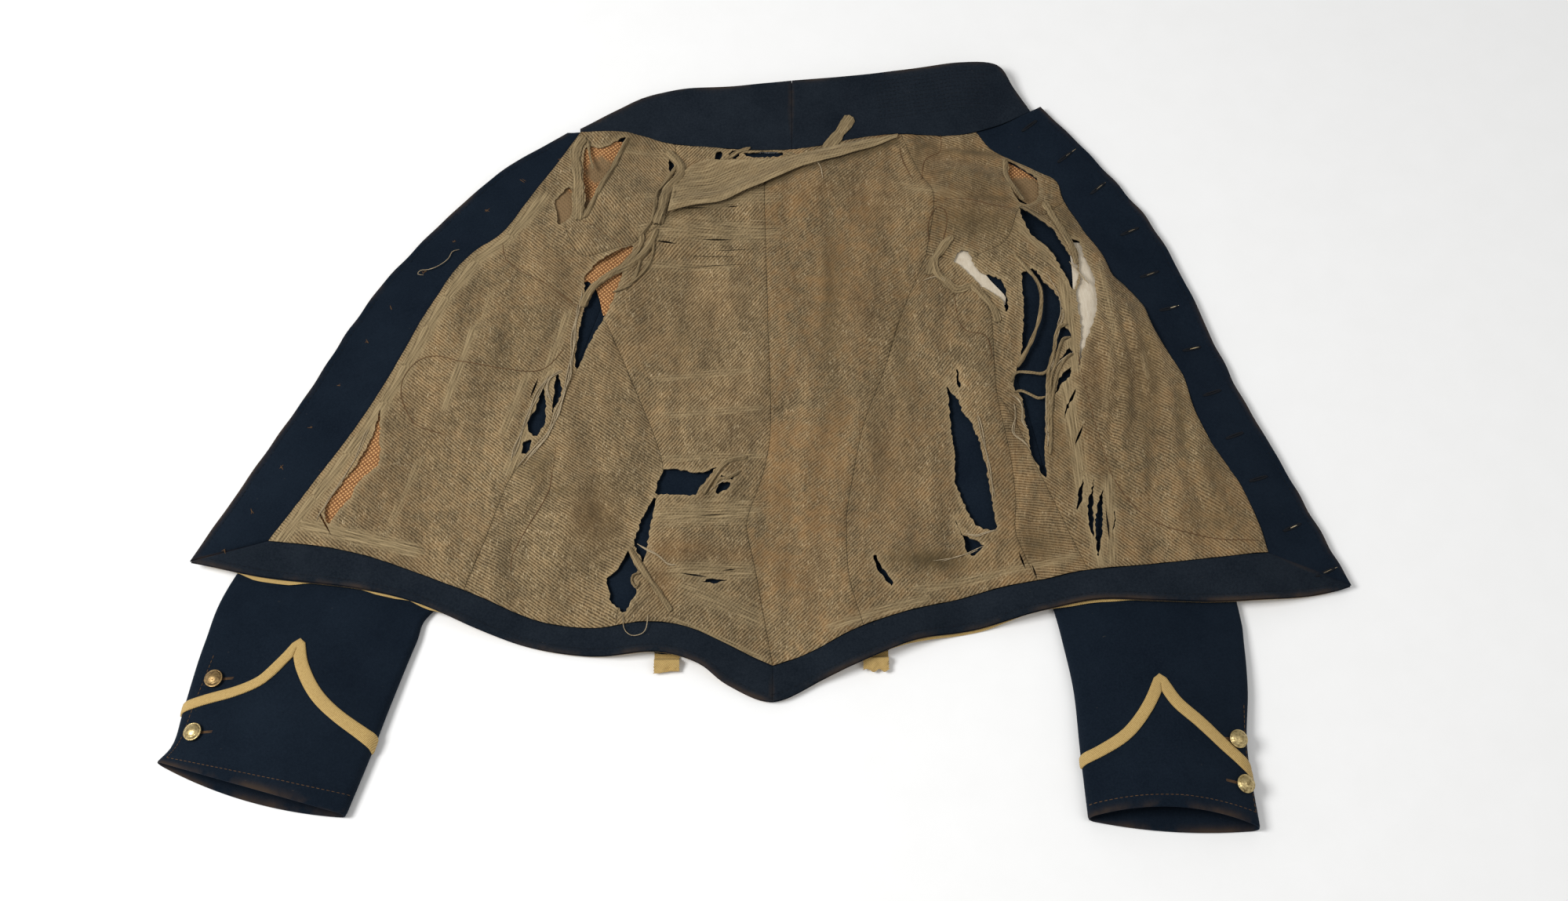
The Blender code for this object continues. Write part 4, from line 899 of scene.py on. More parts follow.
# Twill of each lining panel
LINING_LOOKS = {
    # panel: (the angle across its ribs, how brown it has gone)
    "lining_front_right": (-50, 0.45),
    "lining_side_right": (-56, 0.35),
    "lining_back_right": (40, 0.40),
    "lining_head_right": (-38, 0.45),
    "lining_back_left": (46, 0.8),
    "lining_side_left": (42, 0.6),
    "lining_gusset_left": (-84, 0.6),
    "lining_front_left": (-52, 0.65),
    "lining_head_left": (-62, 1.0),
}
FLAP_LOOK = (24, 0.5)
STRIP_LOOK = (30, 0.5)

# Studio light
WORLD_LIGHT = 0.42
LIGHTS = [
    # name, place, size, power
    ("key", (-1.5, -0.3, 1.9), 0.9, 46.0),
    ("fill", (1.4, -0.6, 2.0), 1.8, 10.0),
]
FLOOR_REACH = 4.0
FLOOR_DROP = 0.0004

# Sheets with their facts, and the trim and threads that go with each
SHEETS = {}
ON_SHEETS = {}


def plan_shift():
    """What moves the tables' millimetres to the frame's metres."""
    low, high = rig.box(ANCHOR_NODE)
    return np.array([(low[0] + high[0]) / 2 - ANCHOR_PLAN[0] * METRES, low[1] - ANCHOR_PLAN[1] * METRES, 0.0])


SHIFT = plan_shift()


def smooth(rows, step=EDGE_STEP):
    """A smooth curve through the rows of a table, with points about one step apart."""
    rows = np.array(rows, float)
    padded = np.vstack([2 * rows[0] - rows[1], rows, 2 * rows[-1] - rows[-2]])
    found = []
    for before, start, end, after in zip(padded, padded[1:], padded[2:], padded[3:]):
        count = max(1, round(np.linalg.norm((end - start)[:2]) / step))
        for t in np.arange(count)[:, None] / count:
            found.append(
                0.5 * (2 * start + (end - before) * t + (2 * before - 5 * start + 4 * end - after) * t**2
                       + (3 * start - before - 3 * end + after) * t**3)
            )
    return np.vstack([*found, rows[-1]])


def place_on(curve, point):
    """The place along a curve that is nearest to a point, as a number of segments and as x and y."""
    starts, ways = curve[:-1], np.diff(curve, axis=0)
    share = np.clip(((point - starts) * ways).sum(1) / (ways**2).sum(1), 0, 1)
    spots = starts + share[:, None] * ways
    best = np.argmin(np.linalg.norm(spots - point, axis=1))
    return best + share[best], spots[best]


def seam(rows, top=None, bottom=None):
    """A smooth seam whose ends lie on the curves that it runs between."""
    rows = [np.array(row, float) for row in rows]
    if top is not None:
        rows[0] = place_on(top, rows[0])[1]
    if bottom is not None:
        rows[-1] = place_on(bottom, rows[-1])[1]
    return smooth(rows)


def between(curve, start, end):
    """The stretch of a curve from one point to another, in that direction."""
    (first, start_spot), (last, end_spot) = place_on(curve, start), place_on(curve, end)
    if first > last:
        return between(curve, end, start)[::-1]
    inner = [p for i, p in enumerate(curve) if first + 0.2 < i < last - 0.2]
    return np.array([start_spot, *inner, end_spot])


def loop(*curves):
    """One closed outline from curves that follow each other, with each shared end kept once."""
    points = np.vstack(curves)
    apart = np.linalg.norm(points - np.roll(points, 1, axis=0), axis=1) > 0.5
    return points[apart]


def outward(outline):
    """The outward normal at each point of an outline."""
    ways = np.roll(outline, -1, axis=0) - outline
    ways /= np.linalg.norm(ways, axis=1)[:, None]
    area = (outline[:, 0] * np.roll(outline[:, 1], -1) - outline[:, 1] * np.roll(outline[:, 0], -1)).sum()
    normals = np.stack([ways[:, 1], -ways[:, 0]], 1) * np.sign(area)
    corner = normals + np.roll(normals, 1, axis=0)
    return corner / (np.maximum((corner**2).sum(1), 0.6)[:, None] / 2)


def grown(outline, distance):
    """An outline moved outwards, or inwards if the distance is negative."""
    return outline + distance * outward(outline)


def line_distance(points, line):
    """How far each point is from a line through points."""
    best = np.full(len(points), 1e9)
    for start, end in zip(line, line[1:]):
        way = end - start
        share = np.clip((points - start) @ way / max(way @ way, 1e-9), 0, 1)
        best = np.minimum(best, ((points - start - share[:, None] * way) ** 2).sum(1))
    return np.sqrt(best)


def edge_distance(points, outline):
    """How far each point is from the nearest edge of a closed outline."""
    return line_distance(points, np.vstack([outline, outline[:1]]))


def inside(points, outline):
    """Which points are inside an outline."""
    odd = np.zeros(len(points), bool)
    x, y = points.T
    for (x0, y0), (x1, y1) in zip(outline, np.roll(outline, -1, axis=0)):
        if y0 != y1:
            crosses = (y0 > y) != (y1 > y)
            odd ^= crosses & (x < x0 + (y - y0) * (x1 - x0) / (y1 - y0))
    return odd


def ease(share):
    """A share from 0 to 1, with soft ends."""
    share = np.clip(share, 0, 1)
    return share * share * (3 - 2 * share)


def bell(away, width):
    """1 where something is, fading to nothing over about two widths away from it."""
    return np.exp(-((away / width) ** 2))


def side_normals(edge):
    """Unit normals of an edge, to the left of its direction."""
    way = np.gradient(edge, axis=0)
    return np.stack([-way[:, 1], way[:, 0]], 1) / np.linalg.norm(way, axis=1)[:, None]


def waves(points, seed, length, count=9):
    """Uneven relief of about one unit each way, from waves of about one length in all directions."""
    draw = np.random.default_rng(seed)
    turn = draw.uniform(0, 2 * math.pi, count)
    size = 2 * math.pi / (length * draw.uniform(0.7, 1.6, count))
    directions = np.stack([np.cos(turn), np.sin(turn)], 1) * size[:, None]
    return np.sin(points @ directions.T + draw.uniform(0, 2 * math.pi, count)).sum(1) / math.sqrt(2 * count)


def relief(points, rows):
    """The unevenness that a table of waves gives."""
    return sum(size * waves(points, seed, length) for size, seed, length in rows)


def run_of(path):
    """The length along a path up to each of its points."""
    return np.concatenate([[0], np.cumsum(np.linalg.norm(np.diff(path, axis=0), axis=1))])


def points_along(path, distances):
    """The points at these distances along a path."""
    run = run_of(path)
    return np.column_stack([np.interp(distances, run, column) for column in path.T])


def on_line(values):
    """Values as plan points along one line, for waves that run along something."""
    return np.column_stack([values, np.zeros(len(values))])


def worn_edge(rows, seed):
    """A smooth edge with the slight waviness of worn cloth, which fades towards its ends."""
    edge = smooth(rows)
    run = run_of(edge)
    size, length = EDGE_WAVES
    fade = ease(np.minimum(run, run[-1] - run) / length)
    wave = size * fade * waves(on_line(run), seed, length)
    return edge + wave[:, None] * side_normals(edge)


def bolster_outline(side):
    """A belt bolster from above: narrower at its top, with a rounded lower end."""
    middle, top_half, bottom_half, top, bottom = BOLSTERS[side]
    round_end = [(middle - reach * bottom_half, bottom + rise) for reach, rise in BOLSTER_ROUNDING]
    half = np.array([(middle - top_half, top), *round_end])
    return np.vstack([half, (half * (-1, 1) + (2 * middle, 0))[::-1]])


def sleeve_outline(rows):
    """A sleeve from above, between its two folds."""
    table = smooth(rows, COARSE_STEP)
    return np.vstack([table[:, 0:2], table[::-1, 2:4]])


EDGE_RIGHT = worn_edge(FRONT_EDGE_RIGHT, EDGE_SEEDS["right"])
EDGE_LEFT = worn_edge(FRONT_EDGE_LEFT, EDGE_SEEDS["left"])
HEM_LINE = smooth(HEM)
NECK_LINE = smooth(NECK)
SLEEVES = {"right": SLEEVE_RIGHT, "left": SLEEVE_LEFT}
COARSE_EDGES = [smooth(rows, COARSE_STEP) for rows in (FRONT_EDGE_RIGHT, FRONT_EDGE_LEFT, HEM)]
INNER_LAYERS = [
    loop(smooth([*rows, rows[0]]))
    for rows in (CANVAS_RIGHT, CANVAS_LEFT, WADDING_FRONT_LEFT, WADDING_ARMHOLE_LEFT)
]


def lift_of(distance, lift):
    """The height that something under the cloth gives it, at a distance outside its edge."""
    height, margin, slope = lift
    return height * ease(1 - (distance - margin) / slope)


def shell_height(points):
    """The height of the shell's underside, from the sleeves, braid, buttons and bolsters that it lies on."""
    under = [(sleeve_outline(rows), SLEEVE_LIFT) for rows in SLEEVES.values()]
    under += [(bolster_outline(side), BOLSTER_LIFT) for side in BOLSTERS]
    lifts = []
    for outline, lift in under:
        away = np.where(inside(points, outline), 0.0, edge_distance(points, outline))
        lifts.append(lift_of(away, lift))
    for edge in COARSE_EDGES:
        lifts.append(lift_of(line_distance(points, edge), EDGE_LACE_LIFT))
    lifts.append(lift_of(line_distance(points, COARSE_EDGES[0]), BUTTON_LIFT))
    return (np.array(lifts) ** LIFT_BLEND).sum(0) ** (1 / LIFT_BLEND)


def ridges(points, rows):
    """The relief of a table of folds or creases."""
    height = np.zeros(len(points))
    for rise, half_width, path in rows:
        height += rise * bell(line_distance(points, np.array(path, float)), half_width)
    return height


def lining_height(points, more=0.0):
    """The lining's underside, with its folds, creases and unevenness, clear of what lies under it."""
    floor = np.full(len(points), WOOL + LAYER_GAP)
    for layer in INNER_LAYERS:
        floor[inside(points, grown(layer, LAYER_MARGIN))] = CANVAS_LIFT + CANVAS + LAYER_GAP / 2
    limp = relief(points, LINING_WAVES) + LINING_RISE
    height = LINING_LIFT + ridges(points, FOLDS) + ridges(points, CREASES) + limp + more
    return shell_height(points) + np.maximum(height, floor)


def facing_height(points):
    """The underside of the front and hem facings."""
    return shell_height(points) + FACING_LIFT + relief(points, FACING_WAVES)


def facing_top(points):
    """The upper side of the front and hem facings."""
    return facing_height(points) + FACING


def canvas_height(points):
    """The underside of the canvas and wadding."""
    return shell_height(points) + CANVAS_LIFT + relief(points, CANVAS_WAVES)


def collar_height(points):
    """The collar's underside: it starts at the neck seam's height and stands up a little towards its top edge."""
    spots = np.array([place_on(NECK_LINE, point)[1] for point in points])
    away = np.linalg.norm(points - spots, axis=1)
    return np.maximum(shell_height(spots), EDGE_LACE_LIFT[0]) + COLLAR_RISE * ease(away / COLLAR_DEPTH)


def collar_top(points):
    """The upper side of the collar's facing."""
    return collar_height(points) + FACING_LIFT + FACING


def upper_side(points):
    """The height of what faces up: the lining, or the collar's facing past the neck seam."""
    height = lining_height(points) + LINING
    past = points[:, 1] > np.interp(points[:, 0], NECK_LINE[:, 0], NECK_LINE[:, 1])
    if past.any():
        height[past] = np.maximum(height[past], collar_top(points[past]))
    return height


def edge_relief(points, edge):
    """The turned edge of a facing: a slight roll along it, and a stitched groove beside it."""
    away = line_distance(points, edge)
    return sum(height * bell(away - place, width) for height, place, width in (EDGE_ROLL, EDGE_DIP))


def lattice(outline, step):
    """Points in even rows of triangles over an outline."""
    low, high = outline.min(0), outline.max(0)
    row_step = step * math.sqrt(3) / 2
    columns = np.arange(math.floor(low[0] / step) - 1, math.ceil(high[0] / step) + 1)
    found = []
    for row in range(math.floor(low[1] / row_step), math.ceil(high[1] / row_step) + 1):
        found.append(np.stack([(columns + 0.5 * (row % 2)) * step, np.full(len(columns), row * row_step)], 1))
    return np.vstack(found)


def largest_patch(faces):
    """The largest set of faces that hang together along edges."""
    by_edge = {}
    for index, face in enumerate(faces):
        for a, b in zip(face, face[1:] + face[:1]):
            by_edge.setdefault((min(a, b), max(a, b)), []).append(index)
    owner = list(range(len(faces)))

    def root(index):
        while owner[index] != index:
            owner[index] = owner[owner[index]]
            index = owner[index]
        return index

    for pair in by_edge.values():
        if len(pair) == 2:
            owner[root(pair[0])] = root(pair[1])
    roots = np.array([root(index) for index in range(len(faces))])
    best = np.bincount(roots).argmax()
    return [face for face, mine in zip(faces, roots) if mine == best]


def triangulate(outline, cuts, step, rings):
    """The sheet inside an outline and outside its cuts, as plan points and triangles, with rings near its edge."""
    cuts = [cut for cut in cuts if inside(cut, outline).any()]
    loops = [outline, *cuts]
    rim = np.vstack([grown(outline, -distance) for distance in rings])
    inner = lattice(outline, step)
    spread = np.concatenate([np.full(len(inner), LATTICE_CLEAR * step), np.full(len(rim), RING_CLEAR * RIM)])
    inner = np.vstack([inner, rim])
    clear = inside(inner, outline)
    for each in loops:
        clear &= edge_distance(inner, each) > spread
    for cut in cuts:
        clear &= ~inside(inner, cut)
    points = np.vstack([*loops, inner[clear]])
    edges, first = [], 0
    for each in loops:
        count = len(each)
        edges += [(first + i, first + (i + 1) % count) for i in range(count)]
        first += count
    found = delaunay_2d_cdt([Vector(p) for p in points], edges, [], 0, 1e-3)
    points = np.array([tuple(p) for p in found[0]])
    faces = [list(face) for face in found[2]]
    middles = points[np.array([face[:3] for face in faces])].mean(1)
    kept = inside(middles, outline)
    for cut in cuts:
        kept &= ~inside(middles, cut)
    faces = largest_patch([face for face, keep in zip(faces, kept) if keep])
    used, renumbered = np.unique(np.array(faces), return_inverse=True)
    return points[used], renumbered.reshape(-1, 3).tolist()


def add_piece(name, verts, faces, finish, slot, node=None, attributes=(), turn_out=False):
    """A piece of the jacket: a mesh from millimetres, its material, its slot, and the solid that it stands for."""
    mesh = bpy.data.meshes.new(name)
    mesh.from_pydata((np.asarray(verts) * METRES + SHIFT).tolist(), [], faces)
    if turn_out:
        bm = bmesh.new()
        bm.from_mesh(mesh)
        bmesh.ops.recalc_face_normals(bm, faces=bm.faces)
        bm.to_mesh(mesh)
        bm.free()
    mesh.materials.append(finish)
    mesh.shade_smooth()
    mesh.set_sharp_from_angle(angle=math.radians(SMOOTH_ANGLE))
    for key, values in dict(attributes).items():
        layer = mesh.attributes.new(key, "FLOAT", "POINT")
        layer.data.foreach_set("value", np.asarray(values, np.float32))
    piece = bpy.data.objects.new(name, mesh)
    bpy.context.scene.collection.objects.link(piece)
    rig.ride(piece, "root")
    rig.slot(piece, slot)
    if node:
        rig.replaces(piece, node)
    return piece


def skin_faces(rings, columns):
    """The faces of a closed skin over rings of so many points each, with both ends filled from its two long sides."""
    faces = []
    for a, b in zip(range(0, rings * columns, columns), range(columns, rings * columns, columns)):
        for i in range(columns):
            j = (i + 1) % columns
            faces.append([a + i, a + j, b + j, b + i])
    last = (rings - 1) * columns
    for i in range(columns // 2 - 1):
        end = [i, i + 1, columns - 2 - i, columns - 1 - i]
        faces += [end, [last + corner for corner in reversed(end)]]
    return faces


def skin(name, rings, finish, slot, attributes=()):
    """A piece skinned over rings of points, in place of the solid of its name."""
    faces = skin_faces(len(rings), len(rings[0]))
    return add_piece(name, np.vstack(rings), faces, finish, slot, name, attributes, turn_out=True)


def goes_with(sheet, piece):
    """Notes that a piece moves with a sheet."""
    ON_SHEETS.setdefault(sheet, []).append(piece)


def cloth(name, outline, height, thickness, finish, slot, rests_on, cuts=(), step=SHELL_LATTICE, facts=None,
          held="laid", node=True, rings=(RIM,)):
    """A sheet of cloth over a plan outline, with height(points) as its underside and soft, slightly pressed edges."""
    outline = grown(outline, -SEAM_GAP / 2)
    points, faces = triangulate(outline, cuts, step, rings)
    low = height(points)
    thick = thickness(points) if callable(thickness) else np.full(len(points), thickness)
    press = EDGE_PRESS * thick * (1 - ease(edge_distance(points, outline) / RIM))
    verts = np.vstack([np.column_stack([points, low + press]), np.column_stack([points, low + thick - press])])
    count = len(points)
    solid = [[count + i for i in face] for face in faces] + [face[::-1] for face in faces]
    ways = {(a, b) for face in faces for a, b in zip(face, face[1:] + face[:1])}
    solid += [[a, b, count + b, count + a] for a, b in ways if (b, a) not in ways]
    attributes = {key: np.tile(values, 2) for key, values in facts(points).items()} if facts else {}
    piece = add_piece(name, verts, solid, finish, slot, name if node else None, attributes)
    corners = points[np.array(faces)]
    sides = corners[:, 1:] - corners[:, :1]
    area = 0.5 * np.abs(sides[:, 0, 0] * sides[:, 1, 1] - sides[:, 0, 1] * sides[:, 1, 0]).sum() * METRES**2
    span = np.ptp(outline, axis=0) * METRES
    SHEETS[name] = (piece, span, area, held, rests_on)


def declare_sheets():
    """Says of each sheet how large it was cut, what it lies on, and which trim and threads go with it."""
    for name, (piece, span, area, held, rests_on) in SHEETS.items():
        width, length = sorted(float(side) for side in span)
        width = min(width, area / LEAST_FILL / length)
        length = max(length, area / width)
        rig.sheet(piece, flat=(width, length), held=held, rests_on=rests_on, area=area,
                 with_pieces=ON_SHEETS.get(name, []))


def set_input(socket, value):
    """Gives a socket a plain value; a colour also gets its alpha."""
    socket.default_value = (*value, 1.0) if socket.type == "RGBA" else value


class Look:
    """A procedural material in the making: its nodes, its shader, and the object's own coordinates."""

    def __init__(self, name, roughness=0.95, metallic=0.0, specular=0.25, sheen=0.0, sheen_tint=(1, 1, 1)):
        self.material = bpy.data.materials.new(name)
        self.material.use_nodes = True
        self.tree = self.material.node_tree
        self.shader = self.tree.nodes["Principled BSDF"]
        settings = {"Roughness": roughness, "Metallic": metallic, "Specular IOR Level": specular,
                    "Sheen Weight": sheen, "Sheen Roughness": 0.5, "Sheen Tint": sheen_tint}
        for key, value in settings.items():
            set_input(self.shader.inputs[key], value)
        self.coords = self.node("TexCoord").outputs["Object"]

    def node(self, kind, settings=None, **inputs):
        """A node with its settings, and each input as a value or as a link from another node's socket."""
        made = self.tree.nodes.new("ShaderNode" + kind)
        for key, value in (settings or {}).items():
            setattr(made, key, value)
        for key, value in inputs.items():
            numbered = key.startswith("in") and key[2:].isdigit()
            socket = made.inputs[int(key[2:]) if numbered else key.replace("_", " ")]
            if isinstance(value, bpy.types.NodeSocket):
                self.tree.links.new(value, socket)
            else:
                set_input(socket, value)
        return made

    def math(self, operation, first, second):
        return self.node("Math", {"operation": operation}, in0=first, in1=second).outputs[0]

    def times(self, first, second):
        return self.math("MULTIPLY", first, second)

    def total(self, *terms):
        """The sum of values, each with its weight."""
        found = None
        for value, weight in terms:
            term = value if weight == 1 else self.times(value, weight)
            found = term if found is None else self.math("ADD", found, term)
        return found

    def mix(self, share, first, second, blend="MIX"):
        settings = {"data_type": "RGBA", "blend_type": blend}
        return self.node("Mix", settings, in0=share, in6=first, in7=second).outputs[2]

    def span(self, value, low, high, to_low=0.0, to_high=1.0):
        """A value's span brought to another span, held at its ends."""
        return self.node("MapRange", None, in0=value, in1=low, in2=high, in3=to_low, in4=to_high).outputs[0]

    def turned(self, angle, scale=(1, 1, 1), vector=None):
        """Coordinates turned on the table by an angle, and scaled."""
        vector = self.coords if vector is None else vector
        turn = (0, 0, math.radians(angle))
        return self.node("Mapping", None, Vector=vector, Rotation=turn, Scale=scale).outputs[0]

    def noise(self, scale, detail=3.0, roughness=0.55):
        return self.grain(self.coords, scale, detail, roughness)

    def streaks(self, angle, scale, detail, vector=None):
        """Noise drawn out in one direction."""
        return self.grain(self.turned(angle, scale, vector), 1.0, detail)

    def grain(self, vector, scale=1.0, detail=3.0, roughness=0.55):
        """Noise over any coordinates."""
        made = self.node("TexNoise", None, Vector=vector, Scale=scale, Detail=detail, Roughness=roughness)
        return made.outputs["Fac"]

    def ribs(self, angle, spacing, distortion, detail=2.0, detail_scale=1.0, vector=None):
        """Wavy ribs across an angle, so many metres apart."""
        made = self.node("TexWave", None, Vector=self.turned(angle, vector=vector), Scale=RIB_SPAN / spacing,
                         Distortion=distortion, Detail=detail, Detail_Scale=detail_scale)
        return made.outputs["Fac"]

    def attribute(self, name):
        return self.node("Attribute", {"attribute_name": name}).outputs["Fac"]

    def finish(self, colour, height, strength, distance):
        """Joins colour and relief to the shader, and gives the finished material."""
        bump = self.node("Bump", None, Strength=strength, Distance=distance, Height=height)
        self.tree.links.new(colour, self.shader.inputs["Base Color"])
        self.tree.links.new(bump.outputs["Normal"], self.shader.inputs["Normal"])
        return self.material


def twill(look, angle, brown):
    """The colour and relief of jean twill: light and dark ribs, pale flecks, brown mottling, stains with painted shade
    along creases and folds, and painted shade in soft streaks.
    """
    drift = look.node("TexNoise", None, Vector=look.coords, Scale=16.0, Detail=2.0).outputs["Color"]
    moved = look.node("VectorMath", {"operation": "MULTIPLY_ADD"}, in0=drift, in1=(0.006,) * 3, in2=look.coords)
    rib = look.ribs(angle, TWILL_RIB, 1.1, 1.5, 1.4, moved.outputs[0])
    slub = look.streaks(angle, (520, 170, 170), 2.0, moved.outputs[0])
    speck = look.noise(900.0, 2.0)
    fine = look.noise(120.0, 5.0, 0.65)
    mottle = look.noise(26.0, 7.0, 0.68)
    broad = look.noise(7.0, 3.0, 0.5)
    rib = look.times(rib, look.span(mottle, 0.35, 0.65, 0.32, 0.62))
    tone = look.total((rib, 1), (slub, 0.5), (look.math("SUBTRACT", speck, 0.5), 0.5))
    colour = look.mix(look.span(tone, 0.22, 0.80), YARN_DARK, YARN_LIGHT)
    flecks = look.streaks(angle, (760, 300, 300), 2.0)
    colour = look.mix(look.span(flecks, 0.60, 0.72, 0.0, 0.6), colour, YARN_PALE)
    patchy = look.total((mottle, 0.45), (broad, 0.20), (fine, 0.35))
    mottled = look.times(look.span(patchy, 0.44, 0.60), brown)
    marked = look.times(look.attribute("brown"), look.span(mottle, 0.30, 0.58, 0.25, 0.9))
    brown_share = look.math("MAXIMUM", mottled, marked)
    colour = look.mix(look.times(brown_share, 0.75), colour, BROWN)
    # Painted shade: this mask darkens real stains, and also creases, folds and the lining under the neck flap's edge
    # as shade
    stain_and_shade_share = look.times(look.attribute("stain"), look.span(mottle, 0.25, 0.58, 0.4, 0.9))
    colour = look.mix(stain_and_shade_share, colour, STAIN_AND_SHADE_DARK)
    # Painted shade: soft darker and lighter streaks drawn out along y, standing in for the shading of soft folds
    shade = look.streaks(0.0, (52, 12, 20), 3.0)
    colour = look.mix(1.0, colour, look.span(shade, 0.32, 0.68, 0.76, 1.24), "MULTIPLY")
    colour = look.mix(1.0, colour, look.span(fine, 0.35, 0.65, 0.84, 1.16), "MULTIPLY")
    return colour, tone


def lining_material(name, angle, brown):
    """Worn jean twill, with streaks of bare threads where it is worn, painted shade in the gaps between them, frayed
    rips and dark seams.
    """
    look = Look(name, sheen=0.08, sheen_tint=(0.8, 0.7, 0.55))
    colour, tone = twill(look, angle, brown)
    across = look.times(look.attribute("across"), BARE_ACROSS)
    along = look.times(look.attribute("along"), BARE_ALONG)
    streak = look.grain(look.node("CombineXYZ", None, X=across, Y=along).outputs[0], 1.0, 3.0, 0.6)
    worn = look.attribute("worn")
    uneven = look.math("SUBTRACT", streak, 0.5)
    bare_share = look.span(look.total((worn, 1), (uneven, 0.8)), 0.25, 0.75, 0.0, 0.88)
    bare = look.mix(look.span(streak, 0.36, 0.66), BARE_DARK, BARE_LIGHT)
    colour = look.mix(bare_share, colour, bare)
    # Painted shade: the gaps between the bare threads are darkened to a near-black brown
    gap_shade_share = look.times(worn, look.span(streak, 0.40, 0.31, 0.0, 0.9))
    colour = look.mix(gap_shade_share, colour, SHADE_BETWEEN_THREADS)
    colour = look.mix(look.times(look.attribute("fray"), 0.35), colour, BARE_LIGHT)
    colour = look.mix(look.times(look.attribute("seam"), 0.2), colour, STAIN_AND_SHADE_DARK)
    return look.finish(colour, look.mix(bare_share, tone, streak), 0.6, 0.0007)


def wool_material(name, dark, light):
    """Fulled wool: near-black blue with a felted nap, lint, and brown rubbed edges."""
    look = Look(name, 0.92, 0.0, 0.08, 0.05, (0.35, 0.5, 0.8))
    nap = look.noise(620.0, 4.0, 0.7)
    cloudy = look.noise(22.0, 4.0, 0.6)
    weave = look.ribs(-50.0, WOOL_RIB, 3.0)
    tone = look.total((nap, 0.7), (cloudy, 0.5))
    colour = look.mix(look.span(tone, 0.40, 0.85), dark, light)
    lint = look.streaks(25.0, (210, 520, 300), 1.0)
    colour = look.mix(look.span(lint, 0.79, 0.86, 0.0, 0.45), colour, LINT)
    rubbed = look.times(look.attribute("rubbed"), look.span(cloudy, 0.42, 0.62))
    colour = look.mix(look.times(rubbed, 0.8), colour, WOOL_WORN)
    return look.finish(colour, look.total((nap, 1), (weave, 0.25)), 0.5, 0.0004)


def braid_material(name):
    """Worsted braid: faded yellow, with ribs across it."""
    look = Look(name, 0.8, 0.0, 0.3, 0.15, (1.0, 0.85, 0.5))
    rib = look.ribs(40.0, BRAID_RIB, 1.5, 1.0)
    fleck = look.noise(700.0, 3.0, 0.6)
    faded = look.noise(40.0, 4.0, 0.6)
    tone = look.total((rib, 0.45), (fleck, 0.55))
    colour = look.mix(look.span(tone, 0.2, 0.85), BRAID_DARK, BRAID_LIGHT)
    colour = look.mix(look.span(faded, 0.45, 0.7, 0.0, 0.5), colour, BRAID_FADED)
    return look.finish(colour, tone, 0.6, 0.0005)


def canvas_material(name):
    """Coarse tan canvas in plain weave, with felt matted on it in places."""
    look = Look(name, 0.95, 0.0, 0.2)
    warp, weft = (look.ribs(angle, CANVAS_RIB, 0.8) for angle in (50.0, -40.0))
    tone = look.total((look.times(warp, weft), 0.8), (look.noise(300.0), 0.3))
    colour = look.mix(look.span(tone, 0.1, 0.7), CANVAS_DARK, CANVAS_LIGHT)
    felt = look.mix(look.noise(420.0, 5.0, 0.7), FELT_DARK, FELT_LIGHT)
    matted = look.total((look.attribute("felt"), 1), (look.noise(90.0), 0.6))
    colour = look.mix(look.span(matted, 0.6, 0.8), colour, felt)
    return look.finish(colour, tone, 0.8, 0.0008)


def cotton_material(name):
    """Off-white cotton padding, matted and a little soiled."""
    look = Look(name, 0.95, 0.0, 0.2, 0.1)
    fibre = look.streaks(20.0, (500, 120, 200), 4.0)
    soiled = look.noise(60.0, 5.0, 0.65)
    colour = look.mix(fibre, COTTON_DARK, COTTON_LIGHT)
    colour = look.mix(look.span(soiled, 0.5, 0.75, 0.0, 0.6), colour, COTTON_SOILED)
    return look.finish(colour, fibre, 0.5, 0.0006)


def thread_material(name, dark, light):
    """Spun thread, unevenly soiled."""
    look = Look(name, 0.9, 0.0, 0.25)
    fleck = look.noise(800.0, 3.0, 0.6)
    tone = look.total((fleck, 0.6), (look.noise(45.0), 0.4))
    colour = look.mix(look.span(tone, 0.32, 0.66), dark, light)
    return look.finish(colour, fleck, 0.4, 0.0003)


def brass_material(name, bright, dark):
    """Aged brass: dull gold with dark tarnish in its hollows and fine scratches."""
    look = Look(name, 0.4, 1.0, 0.5)
    tarnish = look.noise(420.0, 6.0, 0.65)
    scratch = look.streaks(30.0, (2600, 260, 600), 2.0)
    colour = look.mix(look.span(tarnish, 0.42, 0.66), bright, dark)
    look.tree.links.new(look.span(tarnish, 0.35, 0.7, 0.28, 0.6), look.shader.inputs["Roughness"])
    return look.finish(colour, look.total((tarnish, -1.0), (scratch, 0.3)), 0.5, 0.0004)


WOOL_CLOTH = wool_material("fulled_wool", (0.0024, 0.0056, 0.0110), (0.0080, 0.0140, 0.0230))
FACING_CLOTH = wool_material("faded_wool", (0.0034, 0.0062, 0.0105), (0.0150, 0.0205, 0.0280))
BRAID_CLOTH = braid_material("worsted_braid")
CANVAS_CLOTH = canvas_material("coarse_canvas")
COTTON_CLOTH = cotton_material("cotton_padding")
THREAD = thread_material("lining_thread", (0.17, 0.125, 0.07), (0.46, 0.37, 0.24))
BROWN_THREAD = thread_material("brown_thread", (0.055, 0.030, 0.014), (0.16, 0.085, 0.035))
# Painted light: this pale thread stands in for daylight seen through the open buttonholes
DAYLIGHT_PAINT = thread_material("pale_thread", (0.34, 0.25, 0.12), (0.74, 0.64, 0.44))
DARK_THREAD = thread_material("dark_thread", (0.002, 0.003, 0.005), (0.006, 0.008, 0.012))
BRASS_METAL = brass_material("aged_brass", (0.62, 0.49, 0.24), (0.20, 0.145, 0.06))
TARNISHED_METAL = brass_material("tarnished_brass", (0.40, 0.27, 0.12), (0.11, 0.065, 0.03))


